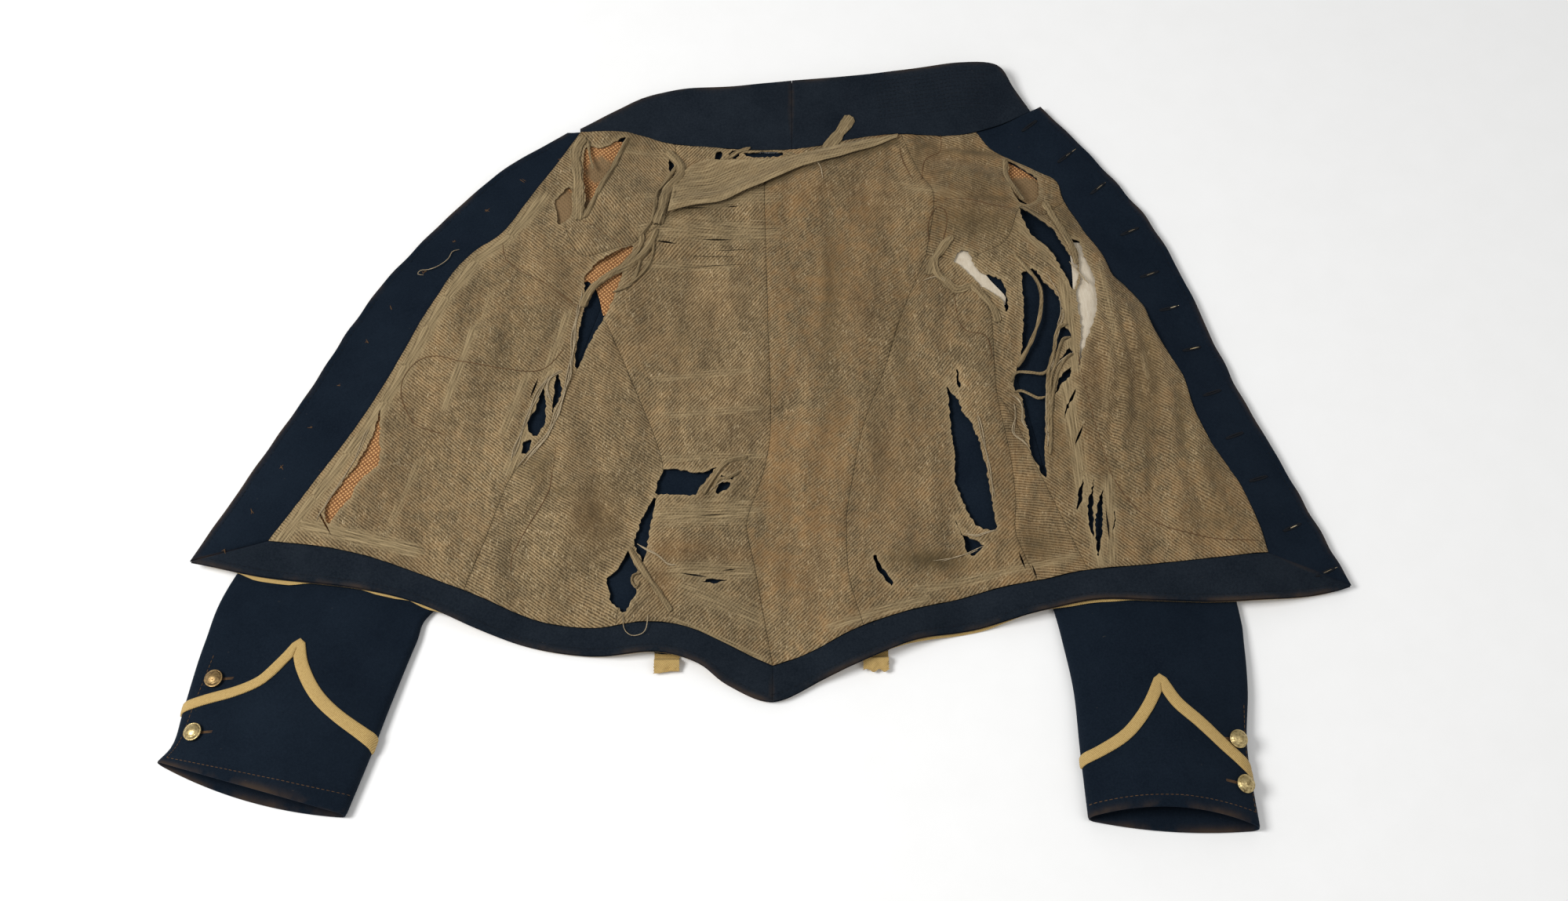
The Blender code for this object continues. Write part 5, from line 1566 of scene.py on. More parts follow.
class Lofts:
    """Many threads or strips gathered into one mesh, and laid on a surface when the mesh is made."""

    def __init__(self):
        self.rings, self.bases, self.across, self.along, self.faces, self.count = [], [], [], [], [], 0

    def add(self, rings, bases, across=0.0, along=0.0):
        """Rings of points, whose z is a height over the surface at their bases."""
        number, columns = rings.shape[:2]
        self.faces += [[self.count + i for i in face] for face in skin_faces(number, columns)]
        self.rings.append(rings.reshape(-1, 3))
        self.bases.append(np.broadcast_to(bases, (number, columns, 2)).reshape(-1, 2))
        self.across.append(np.broadcast_to(across, (number, columns)).reshape(-1))
        self.along.append(np.broadcast_to(along, (number, columns)).reshape(-1))
        self.count += number * columns

    def thread(self, path, radius, lift=0.0, sides=6):
        """A round thread along a plan path, tapered at its ends."""
        path = np.asarray(path, float)
        turn = np.linspace(0, 2 * math.pi, sides, endpoint=False)
        place = np.arange(len(path))
        around = radius * np.minimum(1, 0.4 + 0.3 * np.minimum(place, place[::-1]))
        rings = np.empty((len(path), sides, 3))
        rings[..., :2] = path[:, None] + (around[:, None] * np.cos(turn))[..., None] * side_normals(path)[:, None]
        rings[..., 2] = np.reshape(lift, (-1, 1)) + 0.8 * radius + around[:, None] * np.sin(turn)
        self.add(rings, path[:, None])

    def strip(self, rows, width, arch, seed):
        """A narrow strip of cloth along a plan path, arched across it and uneven along it."""
        path = smooth(rows, STRIP_STEP)
        run = on_line(np.arange(len(path)) * STRIP_STEP)
        half = width / 2 * np.clip(1 + relief(run, [(0.2, seed, 18.0), (0.16, seed + 3, 6.0)]), 0.5, 1.4)
        half[[0, -1]] *= 0.5
        across = np.linspace(-1, 1, STRIP_COLUMNS)
        offset = half[:, None] * across
        spots = path[:, None] + offset[..., None] * side_normals(path)[:, None]
        furrows = np.stack([6.0 * offset, np.broadcast_to(run[:, :1], offset.shape)], 2).reshape(-1, 2)
        uneven = relief(furrows, [(0.35, seed + 2, 16.0)]).reshape(offset.shape)
        swell = arch * (1 - across**4) * (1 + relief(run, [(0.35, seed + 1, 22.0)]))[:, None] + uneven + 0.3
        upper = np.concatenate([spots, swell[..., None] + STRIP_THICK], 2)
        lower = np.concatenate([spots, np.maximum(swell, 0.1)[..., None]], 2)[:, ::-1]
        rings = np.concatenate([upper, lower], 1)
        across = np.concatenate([offset, offset[:, ::-1]], 1) * METRES
        self.add(rings, rings[..., :2], across, run[:, :1] * METRES)

    def dashes(self, path, lift):
        """Stitches along a plan path."""
        length, gap, radius = STITCH
        for start in np.arange(gap, run_of(path)[-1] - length, length + gap):
            self.thread(points_along(path, np.linspace(start, start + length, 4)), radius, lift)

    def piece(self, name, finish, slot, sheet, surface, worn=0.0, stain=0.0):
        """One piece of all the threads or strips, laid on a surface and going with a sheet."""
        rings, bases = np.vstack(self.rings), np.vstack(self.bases)
        rings[:, 2] += surface(bases)
        facts = {"across": np.concatenate(self.across), "along": np.concatenate(self.along),
                 "worn": np.full(len(rings), worn), "stain": np.full(len(rings), stain)}
        goes_with(sheet, add_piece(name, rings, self.faces, finish, slot, attributes=facts, turn_out=True))


def ragged(rows, seed):
    """A smooth closed outline with a torn, uneven edge."""
    outline = loop(smooth([*rows, rows[0]], RIP_STEP))
    draw = np.random.default_rng(seed)
    return outline + RIP_ROUGHNESS * draw.uniform(-1, 1, len(outline))[:, None] * outward(outline)


def slit_outline(x0, y0, x1, y1, half_width):
    """A thin pointed slit."""
    start, end = np.array([x0, y0], float), np.array([x1, y1], float)
    side = half_width * side_normals(np.array([start, end]))[0]
    shares = np.linspace(0, 1, SLIT_POINTS)
    line = start + shares[:, None] * (end - start)
    swell = np.sin(shares * math.pi)[:, None] * side
    return np.vstack([line + swell, (line - swell)[-2:0:-1]])


RIP_LOOPS = [ragged(rows, seed) for seed, rows in enumerate(RIPS, RIP_SEED)]
SLIT_LOOPS = [slit_outline(*row) for row in SLITS]


def worn_bands():
    """The worn bands of the table, and those that follow the right facing's edge."""
    inset, half_width, strength = WORN_EDGE
    edge = smooth(FACING_EDGE_RIGHT[2:], WORN_EDGE_STEP)
    edge = edge + inset * side_normals(edge)
    return WORN_BANDS + [(*start, *end, half_width, strength) for start, end in zip(edge, edge[1:])]


def worn_of(points):
    """How worn each point is, and its distance across and along the threads of the band that wears it most."""
    worn, across, along = np.zeros((3, len(points)))
    for x0, y0, x1, y1, half_width, strength in worn_bands():
        start, way = np.array([x0, y0], float), np.array([x1 - x0, y1 - y0], float)
        length = np.linalg.norm(way)
        way /= length
        run = (points - start) @ way
        off = (points - start) @ np.array([-way[1], way[0]])
        past = np.maximum(0, np.maximum(-run, run - length))
        here = strength * bell(off, half_width) * bell(past, 1.5 * half_width)
        better = here > worn
        worn[better], across[better], along[better] = here[better], off[better], run[better]
    return worn, across * METRES, along * METRES


def spots_of(points, rows):
    """The strength of a table of soft-edged oval spots."""
    found = np.zeros(len(points))
    for x, y, radius_x, radius_y, strength in rows:
        away = ((points - (x, y)) / (radius_x, radius_y)) ** 2
        found = np.maximum(found, strength * np.exp(-away.sum(1)))
    return found


def lining_facts(points, outline):
    """What the lining's material reads at each point: stains, with painted shade along creases and folds and a painted
    shadow under the neck flap's edge; wear, frayed edges and seams.
    """
    worn, across, along = worn_of(points)
    # Painted shadow on the lining just below the neck flap's free edge, put into the stain mask
    strength, drop, width = FLAP_SHADOW
    painted_flap_shadow = strength * bell(line_distance(points, smooth(FLAP_LOW) - (0, drop)), width)
    torn = np.full(len(points), 1e9)
    for rip in RIP_LOOPS:
        near = np.abs(points - rip.mean(0)).max(1) < np.ptp(rip, axis=0).max()
        if near.any():
            torn[near] = np.minimum(torn[near], edge_distance(points[near], rip))
    return {
        "stain": np.maximum(spots_of(points, STAINS_AND_CREASE_SHADE), painted_flap_shadow),
        "brown": spots_of(points, BROWN_STAINS),
        "worn": worn,
        "across": across,
        "along": along,
        "fray": bell(torn, FRAY_WIDTH),
        "seam": bell(edge_distance(points, outline), SEAM_WIDTH),
    }


def rubbed_facts(edge, reach=RUBBED_REACH):
    """What the wool's material reads at each point: how brown it is rubbed, along an edge."""
    def facts(points):
        return {"rubbed": bell(line_distance(points, edge), reach)}
    return facts


def build_shell():
    """The wool shell's back and two fronts."""
    right, left = (seam(rows, NECK_LINE, HEM_LINE) for rows in (SIDE_RIGHT, SIDE_LEFT))
    back = loop(between(NECK_LINE, right[0], left[0]), left, between(HEM_LINE, left[-1], right[-1]), right[::-1])
    fronts = [
        loop(edge, between(HEM_LINE, edge[-1], side[-1]), side[::-1], between(NECK_LINE, side[0], edge[0]))
        for edge, side in ((EDGE_RIGHT, right), (EDGE_LEFT, left))
    ]
    pieces = [
        # name, outline, what it lies on
        ("back", back, ["bolster_right", "bolster_left"]),
        ("front_right", fronts[0], ["sleeve_top_right"]),
        ("front_left", fronts[1], ["sleeve_top_left"]),
    ]
    for name, outline, under in pieces:
        cloth(name, outline, shell_height, WOOL, WOOL_CLOTH, "wool", under, facts=rubbed_facts(HEM_LINE))


def turned_height(points, base, edge):
    """A facing's underside: its base, and the turned edge."""
    return base(points) + edge_relief(points, edge)


def build_facings():
    """The wool facings down the fronts and along the hem; gives their inner edges, which bound the lining."""
    edge_right = seam(FACING_EDGE_RIGHT, top=NECK_LINE)
    edge_left = seam(FACING_EDGE_LEFT, top=NECK_LINE)
    corner = HEM_FACING_EDGE.index(HEM_FACING_POINT)
    hem_edge = np.vstack([smooth(HEM_FACING_EDGE[: corner + 1]), smooth(HEM_FACING_EDGE[corner:])[1:]])
    fronts = [
        loop(outer, inner[::-1], between(NECK_LINE, inner[0], outer[0]))
        for outer, inner in ((EDGE_RIGHT, edge_right), (EDGE_LEFT, edge_left))
    ]
    hem_right = loop(between(HEM_LINE, EDGE_RIGHT[-1], HEM_POINT), between(hem_edge, HEM_FACING_POINT, hem_edge[0]))
    hem_left = loop(between(HEM_LINE, HEM_POINT, EDGE_LEFT[-1]), between(hem_edge, hem_edge[-1], HEM_FACING_POINT))
    pieces = [
        # name, outline, outer edge, finish, what it lies on
        ("facing_right", fronts[0], EDGE_RIGHT, WOOL_CLOTH, "front_right"),
        ("facing_left", fronts[1], EDGE_LEFT, WOOL_CLOTH, "front_left"),
        ("hem_facing_right", hem_right, HEM_LINE, FACING_CLOTH, "back"),
        ("hem_facing_left", hem_left, HEM_LINE, FACING_CLOTH, "back"),
    ]
    for name, outline, edge, finish, under in pieces:
        cloth(name, outline, partial(turned_height, base=facing_height, edge=edge), FACING, finish, "wool", [under],
              step=FACING_LATTICE, facts=rubbed_facts(edge, RUBBED_FACING), rings=EDGE_RINGS)
    return edge_right, edge_left, hem_edge


def collar_facing_height(points):
    """The underside of the collar's facing."""
    return collar_height(points) + FACING_LIFT + relief(points, COLLAR_WAVES)


def build_collar():
    """The standing collar and the two halves of its facing; gives its top edge."""
    top = smooth(COLLAR_TOP)
    outline = loop(between(NECK_LINE, top[0], top[-1]), top[::-1])
    cloth("collar", outline, collar_height, WOOL, WOOL_CLOTH, "wool", ["back"], facts=rubbed_facts(top))
    low, high = (place_on(curve, np.array(spot, float))[1] for curve, spot in zip((NECK_LINE, top), COLLAR_MIDDLE))
    halves = {
        "collar_facing_right": loop(between(NECK_LINE, top[0], low), between(top, high, top[0])),
        "collar_facing_left": loop(between(NECK_LINE, low, top[-1]), between(top, top[-1], high)),
    }
    for name, half in halves.items():
        cloth(name, half, partial(turned_height, base=collar_facing_height, edge=top), FACING, FACING_CLOTH, "wool",
              ["collar"], step=FACING_LATTICE, facts=rubbed_facts(top, RUBBED_FACING), rings=EDGE_RINGS)
    return top


def lining_outlines(facing_right, facing_left, hem_edge):
    """The outline of each lining panel, from the seams and from the facings' inner edges."""
    hem = partial(between, hem_edge)
    neck = partial(between, NECK_LINE)
    centre = seam(CENTRE_SEAM, NECK_LINE, hem_edge)
    back_right, front_right, back_left, side_left, gusset = (
        seam(rows, bottom=hem_edge)
        for rows in (BACK_SEAM_RIGHT, FRONT_SEAM_RIGHT, BACK_SEAM_LEFT, SIDE_SEAM_LEFT, GUSSET_SEAM_LEFT)
    )
    arm_right, arm_left = smooth(ARMHOLE_RIGHT), smooth(ARMHOLE_LEFT)
    head_back_right, head_back_left = seam(HEAD_BACK_RIGHT, NECK_LINE), seam(HEAD_BACK_LEFT, NECK_LINE)
    head_front_right, head_front_left = smooth(HEAD_FRONT_RIGHT), seam(HEAD_FRONT_LEFT, facing_left)
    head_front_right[-1] = facing_right[0]
    return {
        "lining_front_right": loop(facing_right, hem(facing_right[-1], front_right[-1]), front_right[::-1],
                                   arm_right[::-1], head_front_right),
        "lining_side_right": loop(front_right, hem(front_right[-1], back_right[-1]), back_right[::-1],
                                  arm_right[-1:]),
        "lining_back_right": loop(back_right, hem(back_right[-1], centre[-1]), centre[::-1],
                                  neck(centre[0], head_back_right[0]), head_back_right, arm_right),
        "lining_head_right": loop(head_back_right, head_front_right, neck(facing_right[0], head_back_right[0])),
        "lining_back_left": loop(centre, hem(centre[-1], back_left[-1]), back_left[::-1], head_back_left[::-1],
                                 neck(head_back_left[0], centre[0])),
        "lining_side_left": loop(back_left, hem(back_left[-1], side_left[-1]), side_left[::-1], arm_left[::-1]),
        "lining_gusset_left": loop(between(side_left, gusset[0], side_left[-1]), hem(side_left[-1], gusset[-1]),
                                   gusset[::-1]),
        "lining_front_left": loop(between(facing_left, head_front_left[0], facing_left[-1]),
                                  hem(facing_left[-1], gusset[-1]), gusset[::-1],
                                  between(side_left, gusset[0], side_left[0]),
                                  between(arm_left, arm_left[-1], head_front_left[-1]), head_front_left[::-1]),
        "lining_head_left": loop(head_back_left, between(arm_left, arm_left[0], head_front_left[-1]),
                                 head_front_left[::-1], between(facing_left, head_front_left[0], facing_left[0]),
                                 neck(facing_left[0], head_back_left[0])),
    }


def panel_height(points, outline):
    """A lining panel's underside, puckered and pulled down a little along its seams."""
    away = edge_distance(points, outline)
    pucker = relief(points, PUCKER_WAVES) * bell(away, PUCKER_REACH)
    dip, reach = SEAM_DIP
    return lining_height(points, pucker - dip * bell(away, reach))


def build_lining(outlines):
    """The torn lining, panel by panel."""
    for name, outline in outlines.items():
        under = next((front for front in ("front_right", "front_left") if front in name), "back")
        cloth(name, outline, partial(panel_height, outline=outline), LINING,
              lining_material(f"{name}_twill", *LINING_LOOKS[name]), "lining", [under], RIP_LOOPS + SLIT_LOOPS,
              LINING_LATTICE, partial(lining_facts, outline=outline))


def felt_facts(points):
    """What the canvas's material reads at each point: how much felt is matted on it."""
    return {"felt": spots_of(points, FELT)}


def build_inner_layers():
    """The canvas and cotton between shell and lining, which show through the rips."""
    pieces = [
        # name, finish, slot, what it lies on
        ("canvas_right", CANVAS_CLOTH, "canvas", "front_right"),
        ("canvas_left", CANVAS_CLOTH, "canvas", "front_left"),
        ("wadding_front_left", COTTON_CLOTH, "cotton", "front_left"),
        ("wadding_armhole_left", COTTON_CLOTH, "cotton", "front_left"),
    ]
    for outline, (name, finish, slot, under) in zip(INNER_LAYERS, pieces):
        cloth(name, outline, canvas_height, CANVAS, finish, slot, [under], facts=felt_facts)


class Sleeve:
    """A pressed sleeve: a flat-bottomed tube between two folds, measured up from its cuff edge."""

    def __init__(self, side):
        rows = SLEEVES[side]
        table = smooth(rows, SLEEVE_STEP)
        run = run_of((table[:, 0:2] + table[:, 2:4]) / 2)
        self.length = run[-1]
        self.ups = (self.length - run)[::-1]
        self.columns = [*table[::-1, :5].T, np.maximum(table[::-1, 5], 0)]
        self.creases = SLEEVE_CREASES[side]
        self.bow = [math.copysign(1, -rows[-1][0]) * past for past in CUFF_BOW[side]]

    def station(self, up):
        """The middle at a distance up, the direction across, half the width, half the height, and the crown."""
        read = [np.interp(up, self.ups, column) for column in self.columns]
        outer, inner = np.array(read[0:2]), np.array(read[2:4])
        half = np.linalg.norm(inner - outer) / 2
        return (outer + inner) / 2, (inner - outer) / (2 * half), half, read[4] / 2, read[5]

    def unevenness(self, up, offset):
        """Soft creases and unevenness of the upper side, and the stitched groove near the cuff edge."""
        end, end_length, cuff_length = SLEEVE_FADE
        depth, width = CUFF_GROOVE
        spots = np.column_stack([np.full(len(offset), up), offset])
        height = relief(spots, SLEEVE_WAVES) + ridges(spots, self.creases)
        height = height * ease((end - up) / end_length) * ease(up / cuff_length)
        return height - depth * bell(up - CUFF_STITCH_UP, width)

    def points(self, up, offset, lift, upper=True):
        """Points across one side of the tube, at offsets from its middle, lifted from the level of the folds."""
        middle, across, half, radius, crown = self.station(up)
        crowned = np.clip(1 - (offset / half) ** 2, 0, 1)
        if upper:
            z = radius + SEAM_GAP / 2 + lift + crown * crowned + self.unevenness(up, offset) * crowned**0.5
        else:
            z = (radius - SEAM_GAP / 2) * (1 - lift / radius)
        bow = self.bow[upper] * ease(1 - up / CUFF_BOW_REACH) * crowned
        along = np.array([across[1], -across[0]])
        return np.column_stack([middle + offset[:, None] * across + bow[:, None] * along, z])

    def section(self, up, inset, upper):
        """One side of the tube across the sleeve, from fold to fold, moved in by inset."""
        _, _, half, radius, _ = self.station(up)
        flat = half - radius
        turn = np.radians(np.linspace(0, 90, FOLD_POINTS))
        reach, rise = (radius - inset) * np.cos(turn), (radius - inset) * np.sin(turn)
        run = np.linspace(-flat, flat, SLEEVE_COLUMNS)
        offset = np.concatenate([-flat - reach[:-1], run, (flat + reach[:-1])[::-1]])
        lift = np.concatenate([rise[:-1], np.full(len(run), rise[-1]), rise[:-1][::-1]])
        return self.points(up, offset, lift, upper)

    def on_top(self, up, offset, lift):
        """A point on the sleeve's upper side, at an offset along the cloth from its middle, and moved out by lift."""
        _, _, half, radius, _ = self.station(up)
        flat = half - radius
        turn = np.clip((abs(offset) - flat) / radius, 0, math.pi / 2)
        side = math.copysign(min(abs(offset), flat) + (radius + lift) * math.sin(turn), offset)
        return self.points(up, np.array([side]), (radius + lift) * math.cos(turn))[0]

    def half_round(self, up):
        """Half the width of the upper side, along the cloth, from its middle to a fold."""
        _, _, half, radius, _ = self.station(up)
        return half - radius + radius * math.pi / 2


def build_sleeve(side):
    """The two walls of a sleeve, with its cuff braid and buttons."""
    sleeve = Sleeve(side)
    runs = [np.arange(start, min(stop, sleeve.length), step) for start, stop, step in SLEEVE_RUNS]
    ups = np.unique(np.concatenate([*runs, [sleeve.length]]))[::-1]
    widths = [2 * sleeve.station(up)[2] for up in ups]
    area = float(np.trapz(widths[::-1], ups[::-1])) * METRES**2
    press, press_length = CUFF_PRESS
    for half, upper, under in (("top", True, f"sleeve_under_{side}"), ("under", False, "back")):
        name = f"sleeve_{half}_{side}"
        rings = []
        for up in ups:
            hem = press * ease(1 - up / press_length)
            outside, within = sleeve.section(up, hem, upper), sleeve.section(up, WOOL - hem, upper)[::-1]
            rings.append(np.vstack([outside, within]))
        rubbed = np.repeat(bell(ups, RUBBED_CUFF), len(rings[0]))
        piece = skin(name, rings, WOOL_CLOTH, "wool", {"rubbed": rubbed})
        SHEETS[name] = (piece, np.array([max(widths), sleeve.length]) * METRES, area, "laid", [under])
    build_chevron(side, sleeve)
    for number, (up, inset) in enumerate(CUFF_BUTTONS[side], 1):
        build_cuff_button(f"cuff_button_{side}_{number}", side, sleeve, up, inset)
    return sleeve


def braid_ring(first, second):
    """The rounded section of a braid between its two edges, each given as a lower and an upper point."""
    (low_a, high_a), (low_b, high_b) = first, second
    upper, lower = [], []
    for share, full in BRAID_SECTION:
        base, top = low_a + (low_b - low_a) * share, high_a + (high_b - high_a) * share
        upper.append(base + (top - base) * full)
        lower.append(base)
    return np.array(upper + lower[::-1])


def build_chevron(side, sleeve):
    """The pointed braid round the upper side of a cuff."""
    rows = np.array(CHEVRONS[side], float) / (1, CHEVRON_SCALE)
    point_row = int(np.argmax(rows[:, 1]))
    halves = smooth(rows[: point_row + 1], CHEVRON_STEP), smooth(rows[point_row:], CHEVRON_STEP)[1:]
    share, up = (np.vstack(halves) * (1, CHEVRON_SCALE)).T
    path = np.array([(u, s * (sleeve.half_round(u) - SEAM_GAP)) for u, s in zip(up, share)])
    normal = -side_normals(path)
    normal[0] = normal[-1] = (1, 0)
    peak = int(np.argmax(up))
    upper, lower = path + normal * LACE_WIDTH / 2, path - normal * LACE_WIDTH / 2
    for i, point in enumerate(lower):
        limit = path[peak, 1] + CHEVRON_SLIT * (i - peak)
        point[1] = min(point[1], limit) if i < peak else max(point[1], limit)
    rings = []
    for pair in zip(upper, lower):
        rings.append(braid_ring(*[[sleeve.on_top(*spot, lift) for lift in CHEVRON_LIFTS] for spot in pair]))
    goes_with(f"sleeve_top_{side}", skin(f"cuff_braid_{side}", rings, BRAID_CLOTH, "braid"))


def build_button(name, place, sheet, finish=BRASS_METAL):
    """A domed shank button with a rolled rim and a ringed, plain crown."""
    turn = np.linspace(0, 2 * math.pi, BUTTON_SEGMENTS, endpoint=False)
    rings = []
    for radius, height in BUTTON_PROFILE:
        ring = [place @ Vector((radius * math.cos(t), radius * math.sin(t), height)) for t in turn]
        rings.append(np.array(ring))
    goes_with(sheet, skin(name, rings, finish, "brass"))


def build_cuff_button(name, side, sleeve, up, inset):
    """A cuff button, square to the cloth under it."""
    offset = inset - sleeve.station(up)[2]
    spot, beside, above = (sleeve.on_top(up + higher, offset + further, LAYER_GAP)
                           for higher, further in ((0, 0), (0, 4), (4, 0)))
    normal = Vector(np.cross(beside - spot, above - spot))
    if normal.z < 0:
        normal.negate()
    place = Matrix.Translation(Vector(spot)) @ normal.to_track_quat("Z", "Y").to_matrix().to_4x4()
    finish = TARNISHED_METAL if name == TARNISHED_BUTTON else BRASS_METAL
    build_button(name, place, f"sleeve_top_{side}", finish)


def build_front_buttons():
    """The row of buttons on the outside of the right front, which hang face down under its edge."""
    edge = COARSE_EDGES[0]
    line = edge + FRONT_BUTTON_INSET * side_normals(edge)
    distances = np.linspace(FRONT_BUTTON_END, run_of(line)[-1] - FRONT_BUTTON_END, FRONT_BUTTONS)
    for number, spot in enumerate(points_along(line, distances), 1):
        around = spot + FRONT_BUTTON_ROOM * np.array([(0, 0), (1, 0), (-1, 0), (0, 1), (0, -1)])
        top = shell_height(around).min() - LAYER_GAP
        place = Matrix.Translation((*spot, top)) @ Matrix.Rotation(math.pi, 4, "X")
        build_button(f"front_button_{number}", place, "front_right")


def build_bolster(side):
    """A padded belt rest under the back hem, with a crumpled braid end that shows below the hem."""
    middle, _, bottom_half, _, bottom = BOLSTERS[side]
    corners = bolster_outline(side)
    outline = loop(*[np.linspace(a, b, 5) for a, b in zip(corners, np.roll(corners, -1, axis=0))])

    def base(points):
        return np.full(len(points), BOLSTER_BASE)

    def crown(points):
        return BOLSTER_CROWN * np.sqrt(ease(edge_distance(points, outline) / bottom_half) + 0.1)

    def facts(points):
        return {"rubbed": np.zeros(len(points))}

    cloth(f"bolster_{side}", outline, base, crown, WOOL_CLOTH, "wool", ["back"], step=BOLSTER_LATTICE, facts=facts)
    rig.padded(SHEETS.pop(f"bolster_{side}")[0], fill=0.7)
    build_bolster_braid(side, middle, bottom)


def build_bolster_braid(side, middle, bottom):
    """The crumpled end of a bolster's braid, which comes out below the hem."""
    half, length, past = BOLSTER_END
    seed = BOLSTER_SEEDS[side]
    ring_count, columns = BOLSTER_BRAID_MESH
    across = np.linspace(-1, 1, columns)
    frayed = waves(on_line(across * 9), seed, 9.0)
    rings = []
    for down in np.linspace(past - length, past, ring_count):
        free = ease(down / past)
        curl = BOLSTER_CURL * ease(down / 4.0 + 0.3) * (1 - 0.5 * free)
        x = middle + half * across * (1 - 0.06 * free * math.cos(3 * down))
        spots = np.column_stack([x, bottom - down + 1.6 * free * frayed])
        crumple = free * relief(spots, [(0.9, seed, 7.0), (0.6, seed + 4, 4.0)])
        low = np.maximum(curl + crumple, 0.15)
        rings.append(np.vstack([np.column_stack([spots, low + LACE]), np.column_stack([spots, low])[::-1]]))
    goes_with("back", skin(f"bolster_braid_{side}", rings, BRAID_CLOTH, "braid"))


def trimmed(edge):
    """A hem edge from the back point to a front, cut short at the point's mitre and at the front's braid."""
    return points_along(edge, np.linspace(MITRE_CUT, run_of(edge)[-1] - CORNER_CUT, len(edge)))


def build_edge_braid():
    """The braid sewn on the outside along the fronts, hem and collar, a little proud of the edge."""
    hem = smooth(HEM, HEM_BRAID_STEP)
    runs = [
        # name, edge, height of the cloth it is sewn to, sheet
        ("edge_braid_front_right", EDGE_RIGHT[-3::-1], shell_height, "front_right"),
        ("edge_braid_front_left", EDGE_LEFT[:-2], shell_height, "front_left"),
        ("edge_braid_hem_right", trimmed(between(hem, HEM_POINT, EDGE_RIGHT[-1])), shell_height, "back"),
        ("edge_braid_hem_left", trimmed(between(hem, HEM_POINT, EDGE_LEFT[-1]))[::-1], shell_height, "back"),
        ("edge_braid_collar", smooth(COLLAR_TOP, COLLAR_BRAID_STEP), collar_height, "collar"),
    ]
    for name, edge, height, sheet in runs:
        reach = np.full(len(edge), BRAID_HIDDEN)
        for x, y, half_length, past in BRAID_PEEKS:
            away = np.linalg.norm(edge - (x, y), axis=1)
            reach += (past - BRAID_HIDDEN) * ease(1.6 - 1.2 * away / half_length)
        sides = []
        for offset in (reach - LACE_WIDTH, reach):
            spots = edge + side_normals(edge) * offset[:, None]
            top = height(spots) - EDGE_BRAID_GAP
            sides.append(zip(np.column_stack([spots, top - LACE]), np.column_stack([spots, top])))
        rings = [braid_ring(first, second) for first, second in zip(*sides)]
        goes_with(sheet, skin(name, rings, BRAID_CLOTH, "braid"))


def build_neck_flap():
    """The loose, worn fold below the neck seam, rolled along its free edge."""
    low, high = smooth(FLAP_LOW), smooth(FLAP_HIGH)
    outline = loop(low, high[::-1])
    rise, place, width = FLAP_ROLL
    end, end_length = FLAP_ROLL_END

    def height(points):
        away = line_distance(points, low)
        run = np.column_stack([3.0 * away, 0.25 * points[:, 0]])
        roll = rise * bell(away - place, width) * ease((end - points[:, 0]) / end_length)
        return upper_side(points) + FLAP_GAP + roll + relief(run, FLAP_WAVES)

    def facts(points):
        return {
            "worn": np.full(len(points), FLAP_WORN),
            "across": line_distance(points, low) * METRES,
            "along": points[:, 0] * METRES,
            "brown": spots_of(points, BROWN_STAINS),
            "fray": bell(edge_distance(points, outline), FLAP_FRAY),
            "seam": np.zeros(len(points)),
        }

    cloth("neck_flap", outline, height, LINING, lining_material("flap_twill", *FLAP_LOOK), "lining",
          ["lining_back_right"], step=LINING_LATTICE, facts=facts, held="folded", node=False)


def build_loose_threads():
    """The strips and bundles of threads that lie loose on the lining, one side of the jacket after the other."""
    draw = np.random.default_rng(BUNDLE_SEED)
    finish = lining_material("strip_twill", *STRIP_LOOK)
    for side, sheet in (("right", "lining_back_right"), ("left", "lining_front_left")):
        strips, threads = Lofts(), Lofts()
        for number, (where, width, arch, rows) in enumerate(STRIPS):
            if where == side:
                strips.strip(rows, width, arch, STRIP_SEED + 5 * number)
        for where, count, spread, rows in BUNDLES:
            if where == side:
                add_bundle(threads, smooth(rows, STRIP_STEP), count, spread, draw)
        strips.piece(f"loose_strips_{side}", finish, "lining", sheet, upper_side, STRIP_WORN, STRIP_STAIN)
        threads.piece(f"loose_threads_{side}", THREAD, "lining", sheet, upper_side)


def add_bundle(threads, path, count, spread, draw):
    """Threads that run side by side, each wandering a little, some ending early."""
    side = side_normals(path)
    run = on_line(np.arange(len(path)) * STRIP_STEP)
    for _ in range(count):
        seed = int(draw.integers(1e6))
        offset = spread * (draw.uniform(-0.7, 0.7) + 0.6 * waves(run, seed, 26.0))
        lift = np.clip(0.5 + 0.7 * waves(run, seed + 1, 24.0), 0, 2.5)
        first, last = (int(draw.uniform(0, 0.18) * len(path)) if count > 1 else 0 for _ in range(2))
        kept = slice(first, len(path) - last)
        radius = THREAD_RADIUS * draw.uniform(0.7, 1.25)
        threads.thread((path + offset[:, None] * side)[kept], radius, lift[kept])


def build_stitches(collar_edge, sleeves):
    """Stitching: the lining's seams, the facings' turned edges, buttonholes, button threads, quilting and cuffs."""
    seams, edges = Lofts(), Lofts()
    for rows in STITCHED:
        seams.thread(smooth(rows, SEAM_STEP), SEAM_THREAD, -0.3)
    seams.piece("lining_stitches", BROWN_THREAD, "lining", "lining_front_right", upper_side)
    for edge, inward in ((EDGE_RIGHT, 1), (EDGE_LEFT, -1), (HEM_LINE, 1)):
        edges.dashes((edge + inward * EDGE_STITCH * side_normals(edge))[3:-3], -0.35)
    edges.piece("edge_stitches", DARK_THREAD, "wool", "facing_left", facing_top)
    draw = np.random.default_rng(STITCH_SEED)
    build_buttonholes(draw)
    build_button_threads(draw)
    build_quilting(collar_edge)
    for side, sleeve in sleeves.items():
        build_cuff_stitches(side, sleeve)


